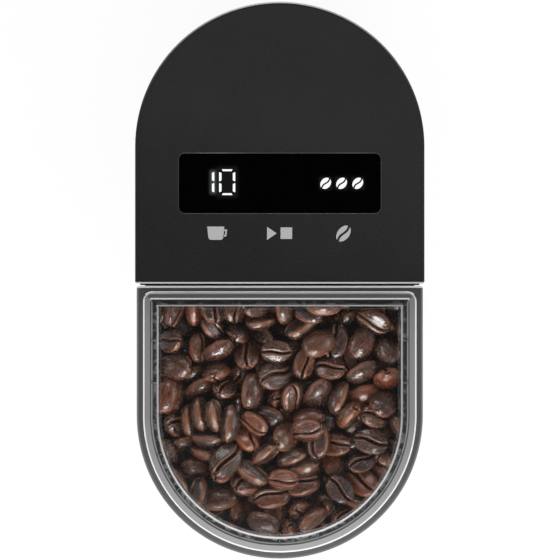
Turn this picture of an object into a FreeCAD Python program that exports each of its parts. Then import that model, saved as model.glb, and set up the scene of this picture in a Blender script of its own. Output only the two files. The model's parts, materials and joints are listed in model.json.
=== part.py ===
import FreeCAD, Part
import math
import os

# A burr coffee grinder with a weighing base. Millimetres; X runs to the right, Y to the rear, Z up.
# The origin lies on the floor below the middle of the footprint. The user stands at the front, at -Y:
# the bean hopper is over the front half, the display housing over the rear half, and the grounds
# container stands in a bay under the hopper, on a weighing plate.

Vector = FreeCAD.Vector

# Body outline
WIDTH = 131.0
LENGTH = 253.5
WALL = 2.5
EDGE_ROUND = 1.0
SEAM_ROUND = 3.0

# Clearances
MOVE_GAP = 0.3
RUN_GAP = 0.03
FIT_GAP = 0.02
SCREW_GAP = 0.1
CUT_OVER = 1.0

# Base and scale
FOOT_HEIGHT = 5.0
FOOT_RADIUS = 8.0
FOOT_INSET = 22.0
FOOT_END_INSET = 50.0
BASE_HEIGHT = 33.0
BASE_PLATE = 2.5
BOSS_WALL = 3.0
CELL_SIDE = 12.7
CELL_LENGTH = 75.0
CELL_HOLE_R = 4.6
CELL_HOLE_SPACING = 15.0
CELL_PEDESTAL = 6.5
CELL_SEAT_LENGTH = 18.0
SCALE_INSET = 6.0
SCALE_STOP_GAP = 0.7
SCALE_FRAME = 2.0
SCALE_STEEL = 1.0
SCALE_POST_R = 12.0
SCALE_TRAVEL = 0.5
SCALE_CORNER = 8.0

# Column behind the bay
BAY_HEIGHT = 168.0
SIDE_RETURN = 15.0
TIE_ROD_R = 2.5
TIE_ROD_INSET = 13.5
NUT_HEIGHT = 4.0
NUT_RADIUS = 4.6
VENT_COUNT = 11
VENT_WIDTH = 3.0
VENT_HEIGHT = 34.0
VENT_STEP_DEG = 6.5
VENT_TOP_GAP = 18.0
GLAND_R = 7.0
GLAND_BORE_R = 3.6
GLAND_LENGTH = 12.0
GLAND_FLANGE = 2.5
POWER_BOARD_WIDTH = 62.0
POWER_BOARD_DEPTH = 40.0
POWER_BOARD_GAP = 1.0
BOARD_THICK = 1.6
STANDOFF = 6.0
STANDOFF_R = 2.5
STANDOFF_INSET = 4.0

# Grounds container
CONTAINER_INSET = 11.0
CONTAINER_HEIGHT = 128.0
CONTAINER_WALL = 2.2
CONTAINER_FLOOR = 3.0
CONTAINER_CORNER = 10.0
CONTAINER_REAR_GAP = 8.0
CONTAINER_LID = 5.0
CONTAINER_PLUG = 7.0
LID_FUNNEL_R = 17.0
LID_COLLAR_HEIGHT = 3.0
LID_COLLAR_WALL = 2.0

# Gear train
PRESSURE_ANGLE = math.radians(25.0)
ADDENDUM = 0.8
DEDENDUM = 1.1
BACKLASH = 0.16
FLANK_STEPS = 3
MOTOR_MODULE = 1.0
BURR_MODULE = 1.25
PINION_TEETH = 12
IDLER_TEETH = 50
IDLER_PINION_TEETH = 16
BURR_GEAR_TEETH = 50
GEAR_FACE = 7.0
GEAR_SIDE_GAP = 1.0
GEAR_TIP_GAP = 2.0
IDLER_PIN_R = 3.0

# Gear case
CASE_WALL = 2.5
DAMPER_HEIGHT = 2.5
DAMPER_RADIUS = 6.0
LUG_SPAN = 60.0
LUG_RADIUS = 6.0
LUG_OUT = 3.5

# Motor
MOTOR_R = 31.0
MOTOR_LENGTH = 95.0
MOTOR_WALL = 1.6
MOTOR_END = 4.0
MOTOR_NOSE = 3.0
MOTOR_CLEARANCE = 2.5
MOTOR_SHAFT_R = 3.0
MOTOR_SCREW_OFFSET = 14.0
MAGNET_THICK = 3.0
MAGNET_GAP_DEG = 40.0
ARMATURE_LENGTH = 52.0
ARMATURE_SLOTS = 12
SLOT_WIDTH = 2.4
SLOT_DEPTH = 9.0
COIL_HEIGHT = 8.0
COIL_R = 21.0
AIR_GAP = 0.7
COMMUTATOR_R = 9.0
COMMUTATOR_LENGTH = 8.0
BRUSH_WIDTH = 6.0

# Burrs
THROAT_FROM_REAR = 28.9
BURR_OUTER_R = 25.0
BURR_INNER_R = 14.0
BURR_HEIGHT = 6.0
BURR_GAP = 1.0
BURR_GROOVES = 18
GROOVE_WIDTH = 2.0
GROOVE_DEPTH = 1.2
GROOVE_LEAN = 6.0
BURR_SHAFT_R = 4.0
BEARING_R = 11.0
BEARING_WIDTH = 7.0
BEARING_LIP = 1.0
BEARING_RING = 2.2
BEARING_BOSS = 3.0
CHAMBER_R = 30.0
CHAMBER_WALL = 3.0
CHAMBER_FLOOR = 3.0
CHAMBER_FLANGE = 4.0
ROTOR_GAP = 1.5
CARRIER_DISC = 6.0
SWEEPER_THICK = 3.0
BURR_SCREW_R = 1.5
BURR_SCREW_HEAD_R = 2.7
BURR_SCREW_HEAD = 1.8
CARRIER_HEIGHT = 26.0
FEED_R = 13.0
FEED_MOUTH_R = 22.0
KEY_WIDTH = 5.0
KEY_HEIGHT = 10.0
KEY_DEPTH = 1.2

# Grind setting
GRIND_STEPS = 39
GRIND_STEP_LIFT = 0.04
RING_RISE = 16.0
RING_HEIGHT = 8.0
RING_TEETH = 67
DIAL_TEETH = 13
DIAL_MODULE = 1.5
DIAL_R = 13.7
DIAL_RECESS = 0.8
DIAL_HEIGHT = 8.4
KNURL_R = 0.7
DIAL_KNURLS = 36
DIAL_PIN_R = 2.5
DIAL_POST_R = 6.0
DIAL_TAB_R = 8.0
DIAL_WINDOW_MARGIN = 1.5

# Chute
CHUTE_WIDTH = 28.0
CHUTE_DEPTH = 20.0
CHUTE_WALL = 2.0
CHUTE_MOUTH = 14.0
SPOUT_DROP = 6.0

# Deck under the hopper
DECK_CLEARANCE = 3.0
DECK_THICK = 4.0
DECK_MOUTH_R = 34.0
DECK_BOSS_R = 4.5
DECK_BOSS_HEIGHT = 11.0
DECK_SCREW_LENGTH = 10.0
DECK_SCREW_REAR = 8.0
DECK_BOSS_GAP = 3.0
SWITCH_LENGTH = 20.0
SWITCH_WIDTH = 6.0
SWITCH_HEIGHT = 6.5
SWITCH_DROP = 3.0

# Hopper and its lid
HOPPER_HEIGHT = 72.0
HOPPER_GAP = 1.05
HOPPER_WALL = 2.4
HOPPER_CORNER = 1.2
HOPPER_RIM = 6.0
HOPPER_RIM_HEIGHT = 3.0
FUNNEL_SLOPE = math.radians(28.0)
THROAT_R = 14.0
THROAT_RISE = 3.0
SPIGOT_WALL = 2.0
PEG_R = 3.0
PEG_SIDE = 45.0
PEG_FRONT = 20.0
LID_INSET = 3.0
LID_CORNER = 4.0
LID_FLANGE_WIDTH = 3.4
LID_RECESS = 1.8
LID_PANEL = 1.2
LID_BEAD_HEIGHT = 0.9
LID_SKIRT = 7.0
LID_SKIRT_WALL = 1.0
SEAL_HEIGHT = 2.6
SEAL_DEPTH = 2.8
LID_ROUND = 1.0
BEAN_HEADROOM = 14.0
BEAN_GAP = 0.5
BEAN_LENGTH = 16.0
BEAN_WIDTH = 11.0
BEAN_PITCH = 20.0
BEAN_TURN_DEG = 137.5
BEAN_PROUD = 9.0
BEAN_STEP = 1.2
BEAN_LEVELS = 3

# Display housing
DISPLAY_DEPTH = 127.6
DISPLAY_HEIGHT = 86.0
DISPLAY_CORNER = 1.2
PANEL_LIP = 1.2
PANEL_SINK = 0.1
WINDOW_WIDTH = 92.0
WINDOW_DEPTH = 27.7
WINDOW_CORNER = 3.0
WINDOW_THICK = 1.5
WINDOW_SINK = 0.2
WINDOW_FROM_REAR = 82.2
WINDOW_LEDGE = 4.0
MODULE_HEIGHT = 6.0
DISPLAY_BOARD_WIDTH = 100.0
BOARD_MARGIN = 9.0
PAD_MARGIN = 1.0
MARKS_FROM_REAR = 104.9
MARK_SPACING = 28.5
TOUCH_PAD_R = 5.0
HOUSING_BOSS_R = 4.5
HOUSING_BOSS_HEIGHT = 16.0
PILLAR_R = 3.0

# Screws
SCREW_R = 2.0
SCREW_HEAD_R = 3.6
SCREW_HEAD = 2.4
BASE_SCREW_LENGTH = 16.0
HOUSING_SCREW_LENGTH = 16.0
MOTOR_SCREW_LENGTH = 5.0
CHAMBER_SCREW_R = 1.2
CHAMBER_SCREW_HEAD_R = 1.9
CHAMBER_SCREW_LENGTH = 8.0

# Places worked out from the sizes above, seen from above
HALF_WIDTH = WIDTH / 2
REAR_END = LENGTH / 2
FRONT_END = -LENGTH / 2
REAR_ARC_Y = REAR_END - HALF_WIDTH
FRONT_ARC_Y = FRONT_END + HALF_WIDTH
SPLIT_Y = REAR_END - DISPLAY_DEPTH
HOPPER_REAR = SPLIT_Y - HOPPER_GAP
BURR_Y = HOPPER_REAR - THROAT_FROM_REAR
IDLER_Y = BURR_Y + BURR_MODULE * (BURR_GEAR_TEETH + IDLER_PINION_TEETH) / 2
MOTOR_Y = IDLER_Y + MOTOR_MODULE * (IDLER_TEETH + PINION_TEETH) / 2
BURR_GEAR_TIP = BURR_MODULE * (BURR_GEAR_TEETH / 2 + ADDENDUM)
IDLER_TIP = MOTOR_MODULE * (IDLER_TEETH / 2 + ADDENDUM)
CASE_INNER = max(BURR_GEAR_TIP, IDLER_TIP) + GEAR_TIP_GAP
CASE_OUTER = CASE_INNER + CASE_WALL
COLUMN_FRONT = MOTOR_Y - MOTOR_R - MOTOR_CLEARANCE - WALL
SEAM_Y = COLUMN_FRONT + SIDE_RETURN
CHAMBER_OUTER = CHAMBER_R + CHAMBER_WALL
FLANGE_R = CHAMBER_OUTER + CHAMBER_FLANGE
CHUTE_REAR = BURR_Y - max(CASE_OUTER, FLANGE_R) - CHUTE_WALL
CHUTE_FRONT = CHUTE_REAR - CHUTE_DEPTH
CHUTE_Y = (CHUTE_REAR + CHUTE_FRONT) / 2
DIAL_X = HALF_WIDTH - DIAL_RECESS - DIAL_R
DIAL_REACH = DIAL_MODULE * (RING_TEETH + DIAL_TEETH) / 2
DIAL_Y = BURR_Y + math.sqrt(DIAL_REACH ** 2 - DIAL_X ** 2)
DIAL_ANGLE = math.degrees(math.atan2(DIAL_Y - BURR_Y, DIAL_X))
WINDOW_Y = REAR_END - WINDOW_FROM_REAR
MARKS_Y = REAR_END - MARKS_FROM_REAR
CELL_FREE_Y = FRONT_ARC_Y - CELL_SEAT_LENGTH / 2
CELL_FIXED_Y = CELL_FREE_Y + CELL_LENGTH
LUG_X = CASE_OUTER + LUG_OUT

# Heights worked out from the sizes above
BASE_TOP = FOOT_HEIGHT + BASE_HEIGHT
CELL_Z = FOOT_HEIGHT + BASE_PLATE + CELL_PEDESTAL
CELL_TOP = CELL_Z + CELL_SIDE
SCALE_GAP = SCALE_TRAVEL + SCALE_STOP_GAP
SCALE_Z = BASE_TOP + SCALE_GAP
SCALE_TOP = SCALE_Z + SCALE_FRAME + SCALE_STEEL
CONTAINER_TOP = SCALE_TOP + CONTAINER_HEIGHT
HEAD_BOTTOM = BASE_TOP + BAY_HEIGHT
HEAD_FLOOR_TOP = HEAD_BOTTOM + WALL
CASE_BOTTOM = HEAD_FLOOR_TOP + DAMPER_HEIGHT
CASE_FLOOR_TOP = CASE_BOTTOM + CASE_WALL
STAGE1_Z = CASE_FLOOR_TOP + GEAR_SIDE_GAP
STAGE1_TOP = STAGE1_Z + GEAR_FACE
STAGE2_Z = STAGE1_TOP + GEAR_SIDE_GAP
STAGE2_TOP = STAGE2_Z + GEAR_FACE
CASE_TOP = STAGE2_TOP + GEAR_SIDE_GAP
PLATE_TOP = CASE_TOP + BEARING_LIP + BEARING_WIDTH
CHAMBER_FLOOR_TOP = PLATE_TOP + CHAMBER_FLOOR
ROTOR_Z = CHAMBER_FLOOR_TOP + ROTOR_GAP
LOWER_BURR_Z = ROTOR_Z + CARRIER_DISC
LOWER_BURR_TOP = LOWER_BURR_Z + BURR_HEIGHT
UPPER_BURR_Z = LOWER_BURR_TOP + BURR_GAP
CARRIER_Z = UPPER_BURR_Z + BURR_HEIGHT
CARRIER_TOP = CARRIER_Z + CARRIER_HEIGHT
RING_Z = CARRIER_Z + RING_RISE
RING_TOP = RING_Z + RING_HEIGHT
DIAL_DISC_Z = RING_TOP + 2 * MOVE_GAP
DIAL_DISC_TOP = DIAL_DISC_Z + DIAL_HEIGHT
DECK_Z = max(DIAL_DISC_TOP, CARRIER_TOP) + DECK_CLEARANCE
DECK_TOP = DECK_Z + DECK_THICK
THROAT_Z = DECK_TOP + THROAT_RISE
GRIND_TRAVEL = (GRIND_STEPS - 1) * GRIND_STEP_LIFT
SPIGOT_Z = CARRIER_TOP + GRIND_TRAVEL / 2 + 2 * MOVE_GAP
HOPPER_TOP = DECK_TOP + HOPPER_HEIGHT
FILL_Z = HOPPER_TOP - BEAN_HEADROOM
HEAP_TOP = FILL_Z - BEAN_PROUD
HEAP_LIFT = BEAN_GAP + BEAN_GAP / math.cos(FUNNEL_SLOPE)
HEAP_TOP_R = THROAT_R + (HEAP_TOP - HEAP_LIFT - THROAT_Z) / math.tan(FUNNEL_SLOPE)
TOP = DECK_TOP + DISPLAY_HEIGHT
PANEL_TOP = TOP - PANEL_SINK
COVER_UNDER = PANEL_TOP - WALL
MODULE_TOP = PANEL_TOP - WINDOW_SINK - WINDOW_THICK
BOARD_TOP = MODULE_TOP - MODULE_HEIGHT
MOTOR_Z = CASE_BOTTOM - MOTOR_LENGTH
ARMATURE_Z = MOTOR_Z + MOTOR_END + COMMUTATOR_LENGTH + COIL_HEIGHT + GEAR_SIDE_GAP

# Outlines as (half width, straight side, round end, corner radius)
REAR_BODY = (HALF_WIDTH, SPLIT_Y, REAR_END, DISPLAY_CORNER)
HOPPER_BODY = (HALF_WIDTH, HOPPER_REAR, FRONT_END, HOPPER_CORNER)
LID_BODY = (HALF_WIDTH, HOPPER_REAR, FRONT_END, LID_CORNER + LID_INSET)
SKIRT_INSET = HOPPER_RIM + MOVE_GAP + SEAL_DEPTH
CONTAINER_BODY = (HALF_WIDTH - CONTAINER_INSET, COLUMN_FRONT - CONTAINER_REAR_GAP,
                  FRONT_END + CONTAINER_INSET, CONTAINER_CORNER)
SCALE_BODY = (HALF_WIDTH - SCALE_INSET, COLUMN_FRONT - SCALE_GAP, FRONT_END + SCALE_INSET, SCALE_CORNER)


def mirror_pairs(x, *ys):
    """Places at both sides of the middle plane, for each y."""
    return [(side * x, y) for y in ys for side in (-1, 1)]


FOOT_SPOTS = mirror_pairs(HALF_WIDTH - FOOT_INSET, FRONT_END + FOOT_END_INSET, REAR_END - FOOT_END_INSET)
TIE_ARC = (HALF_WIDTH - TIE_ROD_INSET) * math.sqrt(0.5)
TIE_SPOTS = (mirror_pairs(HALF_WIDTH - TIE_ROD_INSET, COLUMN_FRONT + TIE_ROD_INSET)
             + mirror_pairs(TIE_ARC, REAR_ARC_Y + TIE_ARC))
LUG_SPOTS = mirror_pairs(LUG_X, IDLER_Y - LUG_SPAN / 2, IDLER_Y + LUG_SPAN / 2)
DECK_BOSS_X = HALF_WIDTH - WALL - DECK_BOSS_R + CUT_OVER
DECK_SPOTS = mirror_pairs(DECK_BOSS_X, FRONT_ARC_Y)
DECK_SPOTS.append((-DECK_BOSS_X, HOPPER_REAR - DECK_SCREW_REAR))
DECK_SPOTS.append((DECK_BOSS_X, DIAL_Y - DIAL_R - DECK_BOSS_GAP - DECK_BOSS_R))
HOUSING_SPOTS = (mirror_pairs(HALF_WIDTH - WALL - HOUSING_BOSS_R, SPLIT_Y + WALL + HOUSING_BOSS_R)
                 + mirror_pairs(TIE_ARC, REAR_ARC_Y + TIE_ARC))
BOARD_FRONT = MARKS_Y - TOUCH_PAD_R - PAD_MARGIN
BOARD_REAR = WINDOW_Y + WINDOW_DEPTH / 2 + BOARD_MARGIN
PILLAR_SPOTS = mirror_pairs(DISPLAY_BOARD_WIDTH / 2 - PILLAR_R, BOARD_FRONT + PILLAR_R,
                            BOARD_REAR - PILLAR_R)
CHAMBER_SCREW_ANGLES = [45.0, 135.0, 225.0, 315.0]
BURR_SCREW_ANGLES = [0.0, 120.0, 240.0]


def cylinder(radius, z0, z1, x=0.0, y=0.0):
    return Part.makeCylinder(radius, z1 - z0, Vector(x, y, z0))


def tube(outer, inner, z0, z1, x=0.0, y=0.0):
    return cylinder(outer, z0, z1, x, y).cut(cylinder(inner, z0 - CUT_OVER, z1 + CUT_OVER, x, y))


def box(x0, x1, y0, y1, z0, z1):
    return Part.makeBox(x1 - x0, y1 - y0, z1 - z0, Vector(x0, y0, z0))


def fuse_all(shapes):
    joined = shapes[0]
    for shape in shapes[1:]:
        joined = joined.fuse(shape)
    return joined.removeSplitter()


def cut_all(shape, tools):
    for tool in tools:
        shape = shape.cut(tool)
    return shape


def line(start, end):
    return Part.LineSegment(Vector(*start, 0), Vector(*end, 0)).toShape()


def arc(start, middle, end):
    return Part.Arc(Vector(*start, 0), Vector(*middle, 0), Vector(*end, 0)).toShape()


def prism(wire, z0, z1):
    face = Part.Face(wire)
    face.translate(Vector(0, 0, z0))
    return face.extrude(Vector(0, 0, z1 - z0))


def shrink(outline, inset):
    """The same D outline with every side moved inwards."""
    half, flat, end, corner = outline
    way = 1 if end > flat else -1
    return (half - inset, flat + way * inset, end - way * inset, max(corner - inset, 0.0))


def d_block(outline, z0, z1):
    """A prism on a D: a straight side, two straight flanks and a half-circle end."""
    half, flat, end, corner = outline
    way = 1 if end > flat else -1
    turn_y = end - way * half
    bend = corner * (1 - math.sqrt(0.5))
    edges = [line((-half + corner, flat), (half - corner, flat))]
    if corner > 0:
        edges.append(arc((half - corner, flat), (half - bend, flat + way * bend),
                         (half, flat + way * corner)))
    edges.append(line((half, flat + way * corner), (half, turn_y)))
    edges.append(arc((half, turn_y), (0, end), (-half, turn_y)))
    edges.append(line((-half, turn_y), (-half, flat + way * corner)))
    if corner > 0:
        edges.append(arc((-half, flat + way * corner), (-half + bend, flat + way * bend),
                         (-half + corner, flat)))
    return prism(Part.Wire(edges), z0, z1)


def d_ring(outline, outer_inset, inner_inset, z0, z1):
    outer = d_block(shrink(outline, outer_inset), z0, z1)
    return outer.cut(d_block(shrink(outline, inner_inset), z0 - CUT_OVER, z1 + CUT_OVER))


def stadium(half, front, rear, z0, z1):
    """A prism on a stadium: straight flanks with a half circle at each end."""
    edges = [line((half, front + half), (half, rear - half)),
             arc((half, rear - half), (0, rear), (-half, rear - half)),
             line((-half, rear - half), (-half, front + half)),
             arc((-half, front + half), (0, front), (half, front + half))]
    return prism(Part.Wire(edges), z0, z1)


def body_block(inset, z0, z1):
    """The whole footprint, moved inwards."""
    return stadium(HALF_WIDTH - inset, FRONT_END + inset, REAR_END - inset, z0, z1)


def case_block(half, z0, z1):
    """The gear case's footprint, from the burr axis to the motor axis."""
    return stadium(half, BURR_Y - half, MOTOR_Y + half, z0, z1)


def round_at(shape, radius, z):
    """Rounds every edge that lies flat at height z."""
    flat = [e for e in shape.Edges
            if abs(e.BoundBox.ZMin - z) < FIT_GAP and abs(e.BoundBox.ZMax - z) < FIT_GAP]
    return shape.makeFillet(radius, flat)


def screw(x, y, seat_z, length, shank_r, head_r, head, down=True):
    """A cheese-head screw whose head sits on seat_z, with its shank down or up from there."""
    if down:
        parts = [cylinder(head_r, seat_z, seat_z + head, x, y),
                 cylinder(shank_r, seat_z - length, seat_z, x, y)]
    else:
        parts = [cylinder(head_r, seat_z - head, seat_z, x, y),
                 cylinder(shank_r, seat_z, seat_z + length, x, y)]
    return fuse_all(parts)


def polar(radius, degrees, x=0.0, y=0.0):
    return (x + radius * math.cos(math.radians(degrees)), y + radius * math.sin(math.radians(degrees)))


def gear(teeth, module, z0, z1, x, y, gap_deg=None, tooth_deg=None):
    """A spur gear with involute flanks. A gap, or a tooth, is centred on the given direction."""
    pitch = module * teeth / 2
    base = pitch * math.cos(PRESSURE_ANGLE)
    tip = pitch + ADDENDUM * module
    root = pitch - DEDENDUM * module
    step = 2 * math.pi / teeth
    first = math.radians(tooth_deg) if gap_deg is None else math.radians(gap_deg) + step / 2
    half_tooth = (math.pi * module / 2 - BACKLASH) / (2 * pitch)

    def roll(radius):
        slope = math.acos(base / radius)
        return math.tan(slope) - slope

    def half_angle(radius):
        return half_tooth + roll(pitch) - roll(max(radius, base))

    low = max(base, root)
    radii = [root] + [low + (tip - low) * k / FLANK_STEPS for k in range(FLANK_STEPS + 1)]
    points = []
    for k in range(teeth):
        middle = first + k * step
        points += [polar(r, math.degrees(middle - half_angle(r)), x, y) for r in radii]
        points += [polar(r, math.degrees(middle + half_angle(r)), x, y) for r in reversed(radii)]
    outline = Part.makePolygon([Vector(px, py, 0) for px, py in points + points[:1]])
    return prism(outline, z0, z1)


def hexagon(radius, z0, z1, x, y):
    corners = [polar(radius, 60 * k, x, y) for k in range(7)]
    return prism(Part.makePolygon([Vector(px, py, 0) for px, py in corners]), z0, z1)


# Base and scale


def make_rubber_feet():
    head_well = SCREW_HEAD_R + SCREW_GAP
    sole = FOOT_HEIGHT / 5
    feet = []
    for x, y in FOOT_SPOTS:
        cone = Part.makeCone(FOOT_RADIUS - sole, FOOT_RADIUS, sole, Vector(x, y, 0))
        foot = cone.fuse(cylinder(FOOT_RADIUS, sole, FOOT_HEIGHT, x, y)).removeSplitter()
        foot = foot.cut(cylinder(head_well, -CUT_OVER, FOOT_HEIGHT - sole, x, y))
        feet.append(foot.cut(cylinder(SCREW_R + SCREW_GAP, 0, FOOT_HEIGHT + CUT_OVER, x, y)))
    return Part.makeCompound(feet)


def make_base_screws():
    seat = FOOT_HEIGHT - FOOT_HEIGHT / 5
    return Part.makeCompound([screw(x, y, seat, BASE_SCREW_LENGTH, SCREW_R, SCREW_HEAD_R, SCREW_HEAD,
                                    down=False)
                              for x, y in FOOT_SPOTS])


def cell_screw_spots():
    middle = CELL_FIXED_Y - CELL_SEAT_LENGTH / 2
    return [(0, middle - CELL_SEAT_LENGTH / 4), (0, middle + CELL_SEAT_LENGTH / 4)]


def make_base_plate():
    top = FOOT_HEIGHT + BASE_PLATE
    plate = body_block(WALL + MOVE_GAP, FOOT_HEIGHT, top)
    half = CELL_SIDE / 2
    pedestal = box(-half, half, CELL_FIXED_Y - CELL_SEAT_LENGTH, CELL_FIXED_Y, top - FIT_GAP, CELL_Z)
    plate = fuse_all([plate, pedestal])
    holes = [cylinder(SCREW_R + SCREW_GAP, 0, top + CUT_OVER, x, y) for x, y in FOOT_SPOTS]
    holes += [cylinder(SCREW_R + SCREW_GAP, FOOT_HEIGHT + FIT_GAP, CELL_Z + CUT_OVER, x, y)
              for x, y in cell_screw_spots()]
    return cut_all(plate, holes)


def make_base_tub():
    deck = BASE_TOP - WALL
    tub = round_at(body_block(0, FOOT_HEIGHT, BASE_TOP), SEAM_ROUND / 2, BASE_TOP)
    tub = tub.cut(body_block(WALL, FOOT_HEIGHT - CUT_OVER, deck))
    boss_r = SCREW_R + BOSS_WALL
    bosses = [cylinder(boss_r, FOOT_HEIGHT + BASE_PLATE, deck + FIT_GAP, x, y) for x, y in FOOT_SPOTS]
    tub = fuse_all([tub] + bosses)
    screw_tip = FOOT_HEIGHT + BASE_SCREW_LENGTH
    holes = [cylinder(SCREW_R + FIT_GAP, FOOT_HEIGHT, screw_tip, x, y) for x, y in FOOT_SPOTS]
    holes.append(cylinder(SCALE_POST_R + 2 * WALL, deck - CUT_OVER, BASE_TOP + CUT_OVER, 0, FRONT_ARC_Y))
    holes += [cylinder(TIE_ROD_R + SCREW_GAP, deck - CUT_OVER, BASE_TOP + CUT_OVER, x, y)
              for x, y in TIE_SPOTS]
    holes.append(gland_cylinder(GLAND_R + FIT_GAP, REAR_END - GLAND_LENGTH, REAR_END + CUT_OVER))
    holes.append(cylinder(GLAND_R, deck - CUT_OVER, BASE_TOP + CUT_OVER, 0, SEAM_Y))
    return cut_all(tub, holes)


def gland_cylinder(radius, y0, y1):
    height = FOOT_HEIGHT + BASE_HEIGHT / 2
    return Part.makeCylinder(radius, y1 - y0, Vector(0, y0, height), Vector(0, 1, 0))


def make_cord_gland():
    rear = REAR_END
    front = REAR_END - GLAND_LENGTH
    body = gland_cylinder(GLAND_R, front, rear)
    flange = gland_cylinder(GLAND_R + GLAND_FLANGE, front, front + GLAND_FLANGE)
    return fuse_all([body, flange]).cut(gland_cylinder(GLAND_BORE_R, front - CUT_OVER, rear + CUT_OVER))


def make_load_cell():
    """A bending bar: fixed at its rear end, the scale on its front end, thinned by two joined bores."""
    half = CELL_SIDE / 2
    bar = box(-half, half, CELL_FREE_Y, CELL_FIXED_Y, CELL_Z, CELL_TOP)
    middle_y = (CELL_FREE_Y + CELL_FIXED_Y) / 2
    middle_z = CELL_Z + half
    side = Vector(1, 0, 0)
    bores = [Part.makeCylinder(CELL_HOLE_R, CELL_SIDE + 2 * CUT_OVER,
                               Vector(-half - CUT_OVER, middle_y + way * CELL_HOLE_SPACING / 2, middle_z),
                               side)
             for way in (-1, 1)]
    slot = box(-half - CUT_OVER, half + CUT_OVER, middle_y - CELL_HOLE_SPACING / 2,
               middle_y + CELL_HOLE_SPACING / 2, middle_z - CELL_HOLE_R / 2, middle_z + CELL_HOLE_R / 2)
    holes = [cylinder(SCREW_R + SCREW_GAP, CELL_Z - CUT_OVER, CELL_TOP + CUT_OVER, x, y)
             for x, y in cell_screw_spots()]
    return cut_all(bar, bores + [slot] + holes)


def make_load_cell_screws():
    length = CELL_SIDE + CELL_PEDESTAL
    return Part.makeCompound([screw(x, y, CELL_TOP, length, SCREW_R, SCREW_HEAD_R, SCREW_HEAD)
                              for x, y in cell_screw_spots()])


def make_scale_frame():
    plate = d_block(shrink(SCALE_BODY, SCALE_STEEL), SCALE_Z, SCALE_Z + SCALE_FRAME)
    post = cylinder(SCALE_POST_R, CELL_TOP, SCALE_Z + FIT_GAP, 0, FRONT_ARC_Y)
    return fuse_all([plate, post])


def make_scale_plate():
    """A pressed steel plate that caps the frame, with a short skirt round its edge."""
    cap = round_at(d_block(SCALE_BODY, SCALE_Z + SCALE_STEEL, SCALE_TOP), SCALE_STEEL * 0.8, SCALE_TOP)
    return cap.cut(d_block(shrink(SCALE_BODY, SCALE_STEEL), SCALE_Z - CUT_OVER, SCALE_Z + SCALE_FRAME))


# Column


def make_bay_wall():
    """The flat wall behind the container, with a return along each side."""
    outer = (HALF_WIDTH, COLUMN_FRONT, REAR_END, SEAM_ROUND)
    shell = d_ring(outer, 0, WALL, BASE_TOP, HEAD_BOTTOM)
    return shell.common(box(-WIDTH, WIDTH, COLUMN_FRONT - CUT_OVER, SEAM_Y, BASE_TOP, HEAD_BOTTOM))


def make_rear_cover():
    """The curved rear wall of the column, with upright cooling slots beside the motor."""
    outer = (HALF_WIDTH, COLUMN_FRONT, REAR_END, SEAM_ROUND)
    shell = d_ring(outer, 0, WALL, BASE_TOP, HEAD_BOTTOM)
    shell = shell.common(box(-WIDTH, WIDTH, SEAM_Y, REAR_END + CUT_OVER, BASE_TOP, HEAD_BOTTOM))
    top = HEAD_BOTTOM - VENT_TOP_GAP
    slot = box(-VENT_WIDTH / 2, VENT_WIDTH / 2, REAR_END - 2 * WALL, REAR_END + CUT_OVER, top - VENT_HEIGHT,
               top)
    slots = []
    for k in range(VENT_COUNT):
        turned = slot.copy()
        turned.rotate(Vector(0, REAR_ARC_Y, 0), Vector(0, 0, 1), VENT_STEP_DEG * (k - (VENT_COUNT - 1) / 2))
        slots.append(turned)
    return cut_all(shell, slots)


def make_tie_rods():
    """Rods that clamp base, column and head together, each with a nut at both ends."""
    low = BASE_TOP - WALL
    pieces = []
    for x, y in TIE_SPOTS:
        rod = cylinder(TIE_ROD_R, low - NUT_HEIGHT, HEAD_FLOOR_TOP + NUT_HEIGHT, x, y)
        pieces.append(rod)
        for z in (low - NUT_HEIGHT, HEAD_FLOOR_TOP):
            nut = hexagon(NUT_RADIUS, z, z + NUT_HEIGHT, x, y)
            pieces.append(nut.cut(cylinder(TIE_ROD_R + FIT_GAP, z - CUT_OVER, z + NUT_HEIGHT + CUT_OVER, x,
                                           y)))
    return Part.makeCompound(pieces)


def make_power_board():
    """A mains board in front of the rear tie rods, with its transformer, capacitors and relay."""
    half = POWER_BOARD_WIDTH / 2
    rear = REAR_ARC_Y + TIE_ARC - TIE_ROD_R - POWER_BOARD_GAP
    front = rear - POWER_BOARD_DEPTH
    board_z = BASE_TOP + STANDOFF
    top = board_z + BOARD_THICK
    board = box(-half, half, front, rear, board_z, top)
    spots = mirror_pairs(half - STANDOFF_INSET, front + STANDOFF_INSET, rear - STANDOFF_INSET)
    standoffs = [cylinder(STANDOFF_R, BASE_TOP, board_z, x, y) for x, y in spots]
    unit = POWER_BOARD_WIDTH / 8
    transformer = box(-half + 2 * unit, -half + 5 * unit, front + unit, front + 4 * unit, top,
                      top + 3 * unit)
    relay = box(half - 2.5 * unit, half - unit, front + unit, front + 3 * unit, top, top + 2 * unit)
    capacitors = [cylinder(unit / 2, top, top + 3 * unit, half - (1 + 1.5 * k) * unit, rear - unit)
                  for k in (0, 1)]
    return Part.makeCompound([board, transformer, relay] + standoffs + capacitors)


# Grounds container


def make_grounds_container():
    tub = d_block(CONTAINER_BODY, SCALE_TOP, CONTAINER_TOP)
    tub = round_at(tub, CONTAINER_FLOOR / 2, SCALE_TOP)
    inside = d_block(shrink(CONTAINER_BODY, CONTAINER_WALL), SCALE_TOP + CONTAINER_FLOOR,
                     CONTAINER_TOP + CUT_OVER)
    return tub.cut(inside)


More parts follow.
